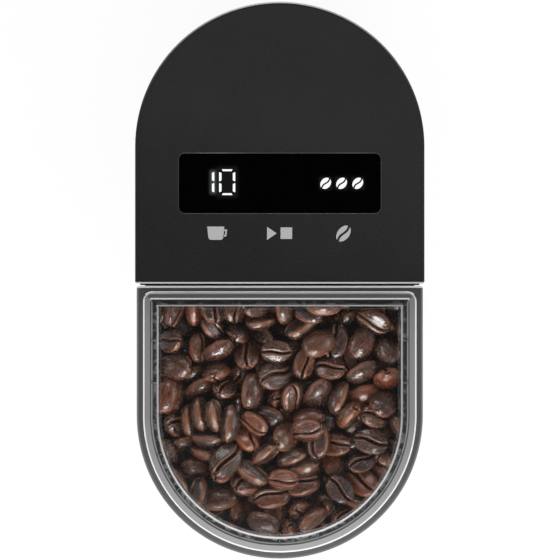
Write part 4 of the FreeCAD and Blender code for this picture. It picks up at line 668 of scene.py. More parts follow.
def clear_lid():
    """Clear plastic with matt bands of painted light: a painted highlight on the outer edge, a
    flange painted light in front and dark behind, a step with a painted highlight behind and a thin
    painted grey line elsewhere, and a bead with a painted highlight that is brightest in front.
    Patches of painted stray light break up the dark seal."""
    material, place = new_finish("clear_lid")
    x, y, _ = axes(place)
    side, rear = from_outline(x, y)
    inset = round_corners(side, rear)
    in_front, behind = toward_front(y), along_rear(side, rear)
    inner = inset + behind * REAR_SHIFT
    # Painted light on the flange: lighter in front, darker behind.
    flange = blend(behind, blend(in_front, grey(0.21), grey(0.37)), grey(0.085))
    # The step: a painted highlight behind, a thin painted grey line on the sides and in front.
    step = blend(behind, bands(inner, SIDE_STEP_HIGHLIGHT), bands(inner, REAR_STEP_HIGHLIGHT))
    # A painted highlight along the outer edge, brightest behind.
    line = blend(behind, blend(in_front, grey(0.76), grey(0.62)), grey(0.95))
    # A painted highlight on the bead over the skirt, brightest in front.
    bead = blend(in_front, (0.34, 0.34, 0.345, 1), grey(0.75))
    tone = blend(bands(inner, BEAD_HIGHLIGHT_BANDS), blend(bands(inset, EDGE_HIGHLIGHT_BANDS), flange, line), bead)
    tone = blend(bands(inner, STEP_PAINTED_BANDS), tone, step)
    # Patches of painted stray light over the dark seal.
    stray = noise(place, 2.2, 2.0).over(0.56, 0.08) * bands(inner, SEAL_BANDS) * 0.3
    see_through(place, CLEAR_TINT, CLEAR_VEIL, 0.0, stray + bands(inner, PAINTED_BAND_SHARE), tone)
    return material


finishes["clear_lid"] = clear_lid()
print("lid with", len(PAINTED_BAND_SHARE), "stops from edge to bead")

# %% [markdown]
# ## The smoked hopper
# The hopper's wall is tinted dark but clear enough to show the beans. Its rim is thick, and its
# flat top is matt and carries painted light: grey, paler at the outer edge and in front, with a
# painted highlight along the straight rear edge and a painted glint next to the lid behind it.

# %% The smoked hopper
RIM_SKIN, RIM_LIT_EDGE, REAR_HIGHLIGHT_EDGE = 0.2 * MM, 0.7 * MM, 0.9 * MM
LID_GLINT, LID_START = 2.6 * MM, 3.4 * MM


def smoked_plastic():
    """Smoked clear plastic, matt on the rim's flat top, where painted light goes by distance
    inwards.
    """
    material, place = new_finish("smoked_plastic")
    x, y, z = axes(place)
    side, rear = from_outline(x, y)
    # Painted light on the rim's top: grey, paler in front and paler at the outer edge.
    rim = blend(toward_front(y), grey(0.052), grey(0.09))
    rim = blend(1.0 - side.over(RIM_LIT_EDGE, RIM_LIT_EDGE), rim, grey(0.17))
    # A painted highlight along the straight rear edge.
    rim = blend(1.0 - rear.over(REAR_HIGHLIGHT_EDGE, FADE), rim, grey(0.66))
    # A painted glint beside the lid, behind it.
    inset = round_corners(side, rear)
    beside_lid = inset.over(LID_GLINT, FADE) * (1.0 - inset.over(LID_START, FADE))
    rim = blend(along_rear(side, rear) * beside_lid, rim, grey(1.0))
    on_top = z.over(hopper_high.z - RIM_SKIN, RIM_SKIN)
    see_through(place, (0.3, 0.3, 0.31, 1), grey(0.75), 0.02, on_top * 0.94, rim)
    return material


finishes["smoked_plastic"] = smoked_plastic()
print("hopper rim at", round(hopper_high.z / MM, 1), "mm")

# %% [markdown]
# ## The window and its glow
# The window is black polished acrylic. The digits behind it are the only light on the panel,
# and acrylic spreads a little of it sideways. That halo is worked out from how far a point
# is from the box round each figure, falling away as a bell curve, and goes into Emission.

# %% Where the figures stand behind the window
ONE_BOX = (-30.71, -29.61, 40.55, 49.55)
ZERO_BOX = (-27.45, -20.15, 39.2, 50.85)
BEAN_MARKS_X = (20.77, 27.96, 35.29)
BEAN_MARKS_Y = 44.51
BEAN_MARK_HALF = 1.9
EULER = 2.7183


def bean_box(mark_x):
    """The box round a lit bean, as (left, right, low, high) millimetres."""
    return (mark_x - BEAN_MARK_HALF, mark_x + BEAN_MARK_HALF,
            BEAN_MARKS_Y - BEAN_MARK_HALF, BEAN_MARKS_Y + BEAN_MARK_HALF)


def bell(squared):
    """A bell curve of a squared distance: 1 at nought, falling away on all sides."""
    return EULER ** (0.0 - squared)


def glow_round(x, y, box, peak, reach):
    """A bell curve of the distance outside a box of (left, right, low, high) millimetres."""
    left, right, low, high = (side * MM for side in box)
    out_x = (abs(x - (left + right) / 2) - (right - left) / 2).math("MAXIMUM")
    out_y = (abs(y - (low + high) / 2) - (high - low) / 2).math("MAXIMUM")
    return peak * bell((out_x * out_x + out_y * out_y) / (reach * MM) ** 2)


GLOWS = [(ONE_BOX, 0.055, 1.0), (ZERO_BOX, 0.008, 1.4)]
GLOWS += [(bean_box(mark_x), 0.011, 1.1) for mark_x in BEAN_MARKS_X]
print(len(GLOWS), "glowing figures")

# %% Window finish
def black_window():
    """Polished black with a faint glow near each lit figure and fine wiping marks."""
    material, place = new_finish("window")
    x, y, _ = axes(place)
    glow = 0.0
    for box, peak, reach in GLOWS:
        glow = glow + glow_round(x, y, box, peak, reach)
    wiping = noise(place, 1.5, 3.0, (0.2, 1.0, 1.0))
    close(place, surface(
        place, Base_Color=blend(wiping, grey(0.0001), grey(0.0004)), Specular_IOR_Level=0.2,
        Roughness=wiping * 0.05 + 0.04, Normal=bump(wiping, 0.0005),
        Emission_Color=blend(glow, grey(0.0), (0.96, 1.0, 1.0, 1)), Emission_Strength=1.0))
    return material


finishes["window"] = black_window()
print("window at", round(window_top / MM, 2), "mm")

# %% [markdown]
# ## Finishes onto the solids
# The record names a slot for each solid, so one loop dresses the whole machine, also the
# works that only show when the hopper is lifted off. The lid shares a slot with the grounds
# container, but has a finish of its own. The heap of beans gets its finish later, from the
# pieces that stand for it.

# %% Dress every solid
OWN_FINISH = {"hopper_lid": "clear_lid"}
dressed = [row for row in frame["record"]["subparts"] if row["material_slot"] in finishes]
for row in dressed:
    slots = frame["nodes"][row["node"]].data.materials
    slots.clear()
    slots.append(finishes[OWN_FINISH.get(row["node"], row["material_slot"])])
print("dressed", len(dressed), "nodes")

# %% [markdown]
# ## Lit digits
# The counter reads ten. Each figure is made of straight segments, as on any seven-segment
# display: long on the outer side of the figure and drawn in at both ends on the inner side, so
# that neighbours meet at a slant. Nothing but its own light makes it visible, so its finish is
# an emission with a slight mottle. A segment is a plate between those two edges.

# %% Light for figures
LIT_HEIGHT, SUNK = 0.04 * MM, 0.03 * MM
SLANT, END_SHARE = 0.4, 0.4


def lit_white():
    """White light that mottles a little, as a light guide does."""
    material, place = new_finish("lit_white")
    mottle = noise(place, 0.7, 2.0)
    close(place, surface(place, Base_Color=grey(0.04), Roughness=mottle * 0.1 + 0.35,
                         Emission_Color=blend(mottle, (0.95, 0.98, 1, 1), (1, 1, 1, 1)),
                         Emission_Strength=1.0))
    return material


lit_finish = lit_white()


def segment(start, end, inwards):
    """A stroke between two points of its outer side. The inner side lies a step inwards along
    most of its length, and less than half of that step at the two slanted ends."""
    start, end, inwards = (np.array(v) * MM for v in (start, end, inwards))
    along = (end - start) / np.linalg.norm(end - start) * SLANT * MM
    outer = np.array([start, start + along, end - along, end])
    inner = outer + inwards * np.array([[END_SHARE], [1.0], [1.0], [END_SHARE]])
    return plate(outer, inner, window_top - SUNK, window_top + LIT_HEIGHT)


print("figures stand", LIT_HEIGHT / MM, "mm proud")

# %% The number ten
UPRIGHT_STROKE, LEVEL_STROKE, SEGMENT_GAP = 1.08, 0.84, 0.48
ZERO_CORNER = 1.35


def upright_pair(x, low, high, inwards):
    """Two segments one above the other, with a gap between them."""
    middle = (low + high) / 2
    step = (inwards * UPRIGHT_STROKE, 0.0)
    return [segment((x, low), (x, middle - SEGMENT_GAP), step),
            segment((x, middle + SEGMENT_GAP), (x, high), step)]


left, right, bottom, top = ZERO_BOX
one = upright_pair(ONE_BOX[1], ONE_BOX[2], ONE_BOX[3], -1)
zero = upright_pair(left, bottom + ZERO_CORNER, top - ZERO_CORNER, 1)
zero += upright_pair(right, bottom + ZERO_CORNER, top - ZERO_CORNER, -1)
zero += [segment((left + ZERO_CORNER, y), (right - ZERO_CORNER, y), (0.0, side * LEVEL_STROKE))
         for y, side in ((bottom, 1), (top, -1))]
fill_piece("lit_digits", join_shapes(one + zero), lit_finish, "housing", smooth=False)

# %% [markdown]
# ## Bean marks
# Three small lit beans show the strength, and a printed one names the button below. A bean
# mark is two plates, one each side of an S-shaped crease: each lies between a half ellipse
# and the crease, moved sideways by half the gap.

# %% Beans as marks
MARK_STEPS, MARK_TIP, MARK_SWING = 25, 0.03, 0.16


def bean_mark(x, y, half_length, half_width, tilt, gap, low, high):
    """Two halves of a tilted ellipse, parted along a sine-shaped crease of even width."""
    t = np.linspace(MARK_TIP, 1 - MARK_TIP, MARK_STEPS) * np.pi
    along = -half_length * np.cos(t)
    crease = -MARK_SWING * half_width * np.sin(along / half_length * np.pi)
    bow = half_width * np.sin(t)
    turn = np.array([[np.cos(tilt), np.sin(tilt)], [-np.sin(tilt), np.cos(tilt)]])
    halves = []
    for side in (-1, 1):
        near = crease + side * gap / 2
        far = side * np.maximum(bow, side * near + 0.05)
        outer = np.stack([along, far], -1) @ turn
        inner = np.stack([along, near], -1) @ turn
        halves.append(plate((outer + [x, y]) * MM, (inner + [x, y]) * MM, low, high))
    return halves


strength = []
for mark_x in BEAN_MARKS_X:
    strength += bean_mark(mark_x, BEAN_MARKS_Y, half_length=2.75, half_width=2.2,
                          tilt=np.radians(50), gap=0.75,
                          low=window_top - SUNK, high=window_top + LIT_HEIGHT)
fill_piece("strength_marks", join_shapes(strength), lit_finish, "housing", smooth=False)

# %% [markdown]
# ## Printed marks
# Under the window are four printed pictures for the touch buttons: a cup, a triangle and a
# square for start and stop, and a bean. Screen print is a thin dull layer of pale grey ink
# that shows the panel's grain, so its finish is rough and speckled.

# %% Grey ink
INK_HEIGHT = 0.03 * MM
INK_LOW, INK_HIGH = panel_top - SUNK, panel_top + INK_HEIGHT


def grey_ink():
    """Pale grey with specks, which also give its roughness and bump."""
    material, place = new_finish("grey_ink")
    speckle = noise(place, 0.3, 3.0)
    tone = blend(speckle, grey(0.3), grey(0.4))
    close(place, surface(place, Base_Color=tone, Specular_IOR_Level=0.3,
                         Roughness=speckle * 0.2 + 0.5, Normal=bump(speckle, 0.008)))
    return material


def ink_plate(edge_a, edge_b):
    """A plate of ink on the panel between two edges in millimetres."""
    return plate(np.array(edge_a) * MM, np.array(edge_b) * MM, INK_LOW, INK_HIGH)


ink = grey_ink()
print("ink stands", INK_HEIGHT / MM, "mm proud")

# %% Cup, start, stop and bean
CUP_LEFT, CUP_RIGHT, CUP_TOP, CUP_FOOT = -32.8, -25.1, 24.95, 18.95
CUP_TAPER, CUP_ROUND = 0.55, 0.85
down = np.linspace(0, 1, 20)
corner = np.clip((down - 0.75) / 0.25, 0, 1)
draw_in = CUP_TAPER * down + CUP_ROUND * (1 - np.sqrt(1 - corner ** 2))
cup_y = CUP_TOP + (CUP_FOOT - CUP_TOP) * down
cup = ink_plate(np.stack([CUP_LEFT + draw_in, cup_y], -1),
                np.stack([CUP_RIGHT - draw_in, cup_y], -1))
handle = ink_plate([(-25.3, 23.6), (-23.75, 23.6), (-24.2, 20.5), (-25.8, 20.3)],
                   [(-25.3, 22.9), (-24.6, 22.9), (-24.85, 21.2), (-25.7, 21.1)])
start = ink_plate([(-5.78, 18.86), (-1.45, 21.84)], [(-5.78, 24.88), (-1.45, 21.9)])
stop = ink_plate([(0.35, 19.35), (0.35, 24.55)], [(5.6, 19.35), (5.6, 24.55)])
bean = bean_mark(28.8, 21.8, half_length=4.1, half_width=2.7, tilt=np.radians(52), gap=1.05,
                 low=INK_LOW, high=INK_HIGH)
fill_piece("printed_marks", join_shapes([cup, handle, start, stop] + bean), ink,
           "housing", smooth=False)

# %% [markdown]
# ## The window's rim
# A hair-thin line runs round the black window, with a painted highlight on its edge, strongest in
# two places at its rear. It is a band: a tiny round profile carried along a rectangle with round
# corners.

# %% Rim of the window
WINDOW_ROUND = 3.0 * MM
RIM_WIDTH, RIM_HEIGHT = 0.16 * MM, 0.04 * MM
RIM_PAINTED_GLEAMS = ((-28.0, 11.0, 0.9), (31.0, 8.0, 0.45))
rim_turn = np.linspace(0, 2 * np.pi, 8, endpoint=False)
rim_profile = np.stack([RIM_WIDTH * np.cos(rim_turn),
                        panel_top + RIM_HEIGHT * np.sin(rim_turn)], -1)
window_middle = ((window_low.x + window_high.x) / 2, (window_low.y + window_high.y) / 2)
rim_path, rim_away = round_rectangle(window_middle, (window_high.x - window_low.x) / 2,
                                     (window_high.y - window_low.y) / 2, WINDOW_ROUND, 64)


def rim_with_painted_gleams():
    """Dark plastic with a painted highlight on its rear side, a bell curve of x round each place,
    over a faint grain.
    """
    material, place = new_finish("window_rim")
    x, y, _ = axes(place)
    fine = noise(place, 0.3)
    at_rear = y.over(window_middle[1], MM)
    painted_gleam = 0.0
    for middle, reach, peak in RIM_PAINTED_GLEAMS:
        away = (x - middle * MM) / (reach * MM)
        painted_gleam = painted_gleam + peak * bell(away * away)
    # Painted highlight: pale where the bell curves rise on the rear side.
    tone = blend((painted_gleam * at_rear + fine * 0.1).clamp(), grey(0.026), grey(0.11))
    close(place, surface(place, Base_Color=tone, Roughness=fine * 0.1 + 0.28))
    return material


fill_piece("window_rim", join_shapes([band(rim_path, rim_away, rim_profile)]), rim_with_painted_gleams(),
           "housing")

# %% [markdown]
# ## A strip in the gap
# The hopper lifts out, so a gap of a millimetre parts it from the panel's housing. A dark strip on
# the housing closes most of it, as painted shade, so that the gap looks dark almost to its ends.
# The strip stays clear of the hopper's wall.

# %% Gap strip of painted shade
STRIP_DROP, STRIP_RISE, STRIP_CLEAR, STRIP_END = 28 * MM, 4 * MM, 0.3 * MM, 0.8 * MM
strip_x = np.array([-1.0, 1.0]) * (HALF_WIDTH - STRIP_END)
strip_top = panel_top - STRIP_DROP
strip_front = np.stack([strip_x, np.full(2, hopper_high.y + STRIP_CLEAR)], -1)
strip_rear = np.stack([strip_x, np.full(2, panel_low.y + SUNK)], -1)
# A dark piece that stands in for shade in the gap.
shade_strip = plate(strip_front, strip_rear, strip_top - STRIP_RISE, strip_top)
fill_piece("gap_shade_strip", join_shapes([shade_strip]), finishes["seal_rubber"], "housing",
           smooth=False)

# %% [markdown]
# ## Settling the beans
# Nobody places beans by hand: they are poured and settle. Blender's rigid bodies could do it,
# but hundreds of them are slow and can differ between runs. Here each bean is six balls held
# in one shape. Every step the balls sink, balls that overlap push each other apart, the
# hopper's wall and cone push them back, and the shape is restored by the turn that fits the
# six balls best. The pouring starts from a fixed seed, so the heap is the same every time.

# %% Room for the beans
BALL, BALL_X, BALL_Y = 3.75, 4.1, 2.15
THROAT_Z, THROAT_R, CONE = 305.0, 14.0, np.radians(28.0)
BURR_Y = -30.8
rest_balls = np.array([[x, y, 0.0] for x in (-BALL_X, 0, BALL_X) for y in (-BALL_Y, BALL_Y)])
room_half = (HALF_WIDTH - HOPPER_WALL) / MM
room_rear = (hopper_high.y - HOPPER_WALL) / MM
room_arc = arc_y / MM


def push_into_room(points):
    """Moves ball centres back inside the wall's outline and above the cone, in millimetres."""
    limit = room_half - BALL
    points[:, 0] = np.clip(points[:, 0], -limit, limit)
    points[:, 1] = np.minimum(points[:, 1], room_rear - BALL)
    out = points[:, :2] - [0.0, room_arc]
    far = np.linalg.norm(out, axis=1)
    front = (out[:, 1] < 0) & (far > limit)
    points[front, :2] = out[front] / far[front, None] * limit + [0.0, room_arc]
    from_axis = points[:, :2] - [0.0, BURR_Y]
    radius = np.linalg.norm(from_axis, axis=1)
    depth = (THROAT_Z + (radius - THROAT_R) * np.tan(CONE) - points[:, 2]) * np.cos(CONE) + BALL
    low = (depth > 0) & (radius > 0.1)
    outwards = from_axis[low] / radius[low, None]
    points[low, :2] -= outwards * (depth[low] * np.sin(CONE))[:, None]
    points[low, 2] += depth[low] * np.cos(CONE)
    points[:, 2] = np.maximum(points[:, 2], THROAT_Z + BALL)


print("beans have", round(2 * room_half, 1), "mm of width")

# %% Neighbours in a grid of cells
PUSH = 1.4


def close_pairs(points, owner, reach):
    """Pairs of points of different beans in the same or touching cells and within reach."""
    cell = np.floor(points / reach).astype(np.int64)
    cell -= cell.min(0) - 1
    span = cell.max(0) + 2
    key = (cell[:, 0] * span[1] + cell[:, 1]) * span[2] + cell[:, 2]
    order = np.argsort(key, kind="stable")
    side = np.array([-1, 0, 1])
    step = ((side[:, None, None] * span[1] + side[None, :, None]) * span[2] + side).ravel()
    wanted = (key[:, None] + step).ravel()
    start = np.searchsorted(key[order], wanted, "left")
    count = np.searchsorted(key[order], wanted, "right") - start
    first = np.repeat(np.repeat(np.arange(len(points)), len(step)), count)
    within = np.arange(count.sum()) - np.repeat(np.cumsum(count) - count, count)
    second = order[within + np.repeat(start, count)]
    keep = (first < second) & (owner[first] != owner[second])
    first, second = first[keep], second[keep]
    near = np.linalg.norm(points[first] - points[second], axis=1) < reach
    return first[near], second[near]


def push_apart(points, first, second):
    """Every overlapping pair of balls is parted by half its overlap each, shared by count."""
    gap = points[second] - points[first]
    distance = np.linalg.norm(gap, axis=1) + 1e-9
    overlap = np.maximum(2 * BALL - distance, 0.0)
    shift = gap * (0.5 * overlap / distance)[:, None]
    touching = (overlap > 0).astype(float)
    n = len(points)
    touches = np.bincount(first, touching, n) + np.bincount(second, touching, n)
    for axis in range(3):
        total = np.bincount(second, shift[:, axis], n) - np.bincount(first, shift[:, axis], n)
        points[:, axis] += PUSH * total / np.maximum(touches, 1.0)


def restore_shapes(points):
    """Each bean's six balls take again the shape of a bean, turned as fits them best."""
    balls = points.reshape(-1, len(rest_balls), 3)
    middle = balls.mean(1, keepdims=True)
    u, _, v = np.linalg.svd(np.einsum("bki,kj->bij", balls - middle, rest_balls))
    u[:, :, 2] *= np.sign(np.linalg.det(u @ v))[:, None]
    turn = u @ v
    points[:] = (middle + np.einsum("bij,kj->bki", turn, rest_balls)).reshape(-1, 3)
    return middle[:, 0], turn


print("a bean is", len(rest_balls), "balls of", BALL, "mm")

# %% Pour them
BEAN_COUNT = 385
POUR_X, POUR_Y = np.linspace(-45, 45, 6), np.linspace(-108, -16, 6)
POUR_Z, POUR_REACH, POUR_SPREAD = 318 + 13.5 * np.arange(20), 52, 1.5
FALL, TOP_SPEED, DRAG = 0.12, 2.0, 0.9
SWEEPS, SEARCH_EVERY, SEARCH_SLACK = 4, 3, 3.0
QUICK_STEPS, FULL_STEPS = 60, 320


def pour_beans(count, steps, seed=7):
    """Beans in loose layers above the hopper sink until they lie still."""
    random = np.random.default_rng(seed)
    spots = np.stack(np.meshgrid(POUR_X, POUR_Y, POUR_Z, indexing="ij"), -1).reshape(-1, 3)
    out = spots[:, :2] - [0.0, room_arc]
    spots = spots[(out[:, 1] > 0) | (np.linalg.norm(out, axis=1) < POUR_REACH)]
    spots = spots[np.argsort(spots[:, 2], kind="stable")][:count]
    spots = spots + random.uniform(-POUR_SPREAD, POUR_SPREAD, spots.shape)
    turn = np.linalg.qr(random.normal(size=(len(spots), 3, 3)))[0]
    turn[:, :, 2] *= np.sign(np.linalg.det(turn))[:, None]
    points = (spots[:, None] + np.einsum("bij,kj->bki", turn, rest_balls)).reshape(-1, 3)
    owner = np.repeat(np.arange(len(spots)), len(rest_balls))
    speed = np.zeros_like(points)
    for step in range(steps):
        before = points.copy()
        speed[:, 2] -= FALL
        points += np.clip(speed, -TOP_SPEED, TOP_SPEED)
        if step % SEARCH_EVERY == 0:
            first, second = close_pairs(points, owner, 2 * BALL + SEARCH_SLACK)
        for _ in range(SWEEPS):
            push_apart(points, first, second)
            push_into_room(points)
            middle, turn = restore_shapes(points)
        speed = (points - before) * DRAG
    return middle, turn


bean_middle, bean_turn = pour_beans(BEAN_COUNT, FULL_STEPS)
print(len(bean_middle), "beans lie between", bean_middle[:, 2].min().round(1), "and",
      bean_middle[:, 2].max().round(1), "mm")

# %% [markdown]
# ## One bean
# A roasted bean is half an egg with a flat face, and a crease that wanders along that face
# like a drawn-out S. Rings of points run from one tip to the other. They crowd together
# towards the crease, and lean with it, so that even a sharp groove needs few points.

# %% The surface of a bean
BEAN_HALF = (8.1, 6.05)
BACK, FACE, SINK = 4.45, 3.3, 0.55
GROOVE_HALF, GROOVE_DEPTH, LEAN = 0.52, 2.2, 0.11
LIP_AT, LIP_HALF, LIP_RISE = 1.7, 1.1, 0.55
RIDGE_AT, RIDGE_HALF = 1.1, 0.4
BRIM_AT, BRIM_HALF = 0.12, 0.2
CROWD, TAPER = 1.7, 0.78


def hump(distance, half):
    """A bell curve of a distance, which has fallen to about a third at half."""
    return np.exp(-(distance / half) ** 2)


def bean_surface(rings, around):
    """x = cosine along the length; y and z = a half ellipse on the back and a flattened one
    on the face; on the face, y leans with a sine and z rises in a narrow bell-shaped groove
    between two low lips. Returns points, face groups, crease depth, and nearness to an edge,
    which is the face's rim or the crease's brink."""
    u = np.arange(1, rings + 1)[:, None] / (rings + 1) * np.pi
    v = np.linspace(-1, 1, around, endpoint=False)[None]
    turn = np.pi * np.sign(v) * np.abs(v) ** CROWD
    swell = np.sin(u) ** TAPER
    x = -BEAN_HALF[0] * np.cos(u) + 0 * v
    side = np.cos(turn)
    y = BEAN_HALF[1] * swell * np.sin(turn)
    z = np.where(side > 0, -FACE * swell ** 0.75 * np.abs(side) ** 0.5, -BACK * swell * side)
    on_face = np.clip((side - 0.25) / 0.5, 0, 1)
    on_face = on_face ** 2 * (3 - 2 * on_face)
    groove = hump(y, GROOVE_HALF) * on_face * swell ** 0.5
    lips = hump(np.abs(y) - LIP_AT, LIP_HALF) * on_face * swell
    z = z + GROOVE_DEPTH * groove - LIP_RISE * lips - SINK
    ridge = hump(np.abs(y) - RIDGE_AT, RIDGE_HALF) * on_face
    y = y + LEAN * BEAN_HALF[1] * np.sin(x / BEAN_HALF[0] * np.pi) * on_face
    tips = np.array([[-BEAN_HALF[0], 0, -SINK], [BEAN_HALF[0], 0, -SINK]])
    points = np.concatenate([np.stack([x, y, z], -1).reshape(-1, 3), tips])
    ring = np.arange(around)
    following = np.roll(ring, -1)
    first_tip = np.stack([np.full(around, rings * around), following, ring], -1)
    last = (rings - 1) * around
    last_tip = np.stack([np.full(around, rings * around + 1), last + ring, last + following], -1)
    groups = [grid_faces(rings, around, close_columns=True), np.concatenate([first_tip, last_tip])]
    # The crease depth feeds painted shade, and nearness to an edge a painted highlight.
    crease = np.concatenate([groove.ravel(), [0.0, 0.0]])
    brim = hump(side - BRIM_AT + 0 * u, BRIM_HALF)
    edge = np.concatenate([np.maximum(brim, 0.8 * ridge).ravel(), [1.0, 1.0]])
    return points, outward(points, groups), crease, edge


FINE_GRID, COARSE_GRID = (22, 32), (6, 8)
print("a fine bean has", len(bean_surface(*FINE_GRID)[0]), "points")

# %% [markdown]
# ## The skin of a roasted bean
# Dark chocolate on the back, a painted copper highlight along every brink, painted shade almost
# black in the crease, and an oily sheen. Each bean was roasted a little differently, so each
# carries its own tone and hue as attributes, and its own piece of the grain pattern.

# %% Roasted finish
def carried(place, name, output="Fac"):
    """A value that every point of the mesh carries under a name."""
    return place.add("ShaderNodeAttribute", {"attribute_name": name}, output=output)


def skin_noise(skin, scale, detail):
    """A noise over a bean's own millimetres, moved elsewhere for every bean."""
    return skin.add("ShaderNodeTexNoise", inputs={"Vector": skin, "Scale": scale, "Detail": detail})


def roasted():
    """Tone from dark to copper or olive by bean and grain; a painted copper highlight along each
    edge; painted shade in the crease; satin gloss.
    """
    material, place = new_finish("beans")
    tone, crease, edge, hue = (carried(place, name) for name in ("tone", "crease", "edge", "hue"))
    skin = carried(place, "skin", "Vector")
    streaks, wrinkles = skin_noise(skin, 0.5, 4.0), skin_noise(skin, 0.95, 5.0)
    pores = skin_noise(skin, 2.6, 3.0)
    mottle = (streaks - 0.5) * 0.8 + (wrinkles - 0.5) * 0.6 + (pores - 0.5) * 0.3
    warm = (tone * 0.75 + mottle).clamp()
    light = blend(hue, (0.222, 0.05, 0.012, 1), (0.114, 0.047, 0.0195, 1))
    colour = blend(warm, (0.022, 0.0118, 0.0094, 1), light)
    # A painted copper highlight along each edge.
    colour = blend(edge * 0.32, colour, (0.5, 0.185, 0.08, 1))
    # Painted shade in the crease, almost black.
    colour = blend((crease * 1.3).clamp(), colour, (0.005, 0.003, 0.0025, 1))
    height = wrinkles * 0.7 + streaks * 0.8 + pores * 0.16
    close(place, surface(place, Base_Color=colour, Specular_IOR_Level=0.65,
                         Roughness=wrinkles * 0.2 + pores * 0.15 + 0.07,
                         Coat_Weight=0.85, Coat_Roughness=0.1, Normal=bump(height, 0.42, 0.85)))
    return material


bean_finish = roasted()
print("roasted finish made")

# %% [markdown]
# ## The heap
# Only the beans on top are seen closely, through the clear lid, so they get the fine surface.
# Those below are seen as brown shapes through the smoked wall, and a coarse surface will do.
# A bean counts as covered by those whose middle lies over it. On top, two beans in three turn
# their crease up, which tells the eye at once what they are.

# %% Lay the beans
FINE_BEANS = 110
COVER_REACH, COVER_RISE = 9.0, 4.0
SKIN_STRETCH, SKIN_REACH = [0.6, 1.4, 1.4], 400
TONE_SPREAD = (1.9, 2.9)


def lay_beans(name, chosen, grid, seed, sizes, face_up, tone_scale):
    """One mesh of the chosen beans: each is the same surface, sized, turned and moved. A share of
    them lies with the creased face up, and the last argument scales their tones; the lower scale of
    the beans below is painted shade, darker deeper in the heap."""
    random = np.random.default_rng(seed)
    middle, turn = bean_middle[chosen], bean_turn[chosen]
    points, groups, crease, edge = bean_surface(*grid)
    size = random.uniform(*sizes, (len(middle), 1, 1))
    flip = np.where(random.random(len(middle)) < face_up, -1.0, 1.0) * np.sign(turn[:, 2, 2])
    turn = turn * np.stack([np.ones_like(flip), flip, flip], -1)[:, None, :]
    laid = middle[:, None] + np.einsum("bij,kj->bki", turn, points) * size
    offset = (np.arange(len(middle)) * len(points))[:, None, None]
    faces = [(g[None] + offset).reshape(-1, g.shape[1]) for g in groups]
    heap = fill_piece(name, (laid.reshape(-1, 3) * MM, faces), bean_finish, "hopper")
    tones = np.repeat(tone_scale * random.beta(*TONE_SPREAD, len(middle)), len(points))
    hues = np.repeat(random.random(len(middle)), len(points))
    crease, edge = np.tile(crease, len(middle)), np.tile(edge, len(middle))
    for label, values in (("tone", tones), ("hue", hues), ("crease", crease), ("edge", edge)):
        spread = heap.data.attributes.new(label, "FLOAT", "POINT")
        spread.data.foreach_set("value", values.astype(np.float32))
    skin = heap.data.attributes.new("skin", "FLOAT_VECTOR", "POINT")
    elsewhere = random.uniform(-SKIN_REACH, SKIN_REACH, (len(middle), 1, 3))
    grain = points[None] * SKIN_STRETCH + elsewhere
    skin.data.foreach_set("vector", grain.ravel().astype(np.float32))
    return heap


across = np.linalg.norm(bean_middle[:, None, :2] - bean_middle[None, :, :2], axis=2)
above = bean_middle[None, :, 2] - bean_middle[:, None, 2] > COVER_RISE
covered = ((across < COVER_REACH) & above).sum(1)
rank = np.lexsort((-bean_middle[:, 2], covered))
fine, coarse = rank[:FINE_BEANS], rank[FINE_BEANS:]
top_heap = lay_beans("beans_on_top", fine, FINE_GRID, seed=21, sizes=(0.85, 1.1),
                     face_up=0.65, tone_scale=0.92)
# The beans below get a lower tone scale: painted shade for their depth in the heap.
lay_beans("beans_below", coarse, COARSE_GRID, seed=22, sizes=(0.8, 1.04),
          face_up=0.5, tone_scale=0.6)
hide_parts("coffee_beans")
print(len(fine), "fine beans,", len(coarse), "coarse ones")

# %% [markdown]
# ## Level lines on the container
# The grounds container is clear, so a few printed lines on its round front tell how full it
# is. A line is a thin bar bent round the front: a plate whose edges are two arcs.

# %% Level lines
LINE_RISE, LINE_IN, LINE_OUT = 0.5 * MM, 0.02 * MM, 0.03 * MM
FIRST_LEVEL, LAST_LEVEL, LEVELS = 24 * MM, 104 * MM, 9
LONG_LINE, SHORT_LINE = 0.34, 0.17
bin_half = bin_high.x
bin_arc_y = bin_low.y + bin_half


def level_line(height, half_angle):
    """A thin curved bar on the front: two arcs, one on the wall and one just proud of it."""
    turn = np.linspace(-half_angle, half_angle, 24) - np.pi / 2
    arc = np.stack([np.cos(turn), np.sin(turn)], -1)
    middle = np.array([0.0, bin_arc_y])
    return plate(middle + arc * (bin_half - LINE_IN), middle + arc * (bin_half + LINE_OUT),
                 height, height + LINE_RISE)


levels = np.linspace(bin_low.z + FIRST_LEVEL, bin_low.z + LAST_LEVEL, LEVELS)
lines = [level_line(z, SHORT_LINE if k % 2 else LONG_LINE) for k, z in enumerate(levels)]
fill_piece("level_lines", join_shapes(lines), ink, "container", smooth=False)

# %% [markdown]
# ## Ribs under the lid
# Small ribs stiffen the lid between its flange and its skirt. From above they show as pale
# ticks over the dark seal. They stand on the sunk panel, so they stay below the flange.

# %% Lid ribs
RIB_HALF, RIB_OUT, RIB_IN, RIB_RISE = 0.22 * MM, 6.5 * MM, 9.3 * MM, 0.5 * MM
ARC_RIBS, SIDE_RIBS, RIBS_FRONT, RIBS_REAR = 9, 2, 15 * MM, 25 * MM
LID_SUNK = 1.8 * MM
lid_panel = lid_top - LID_SUNK


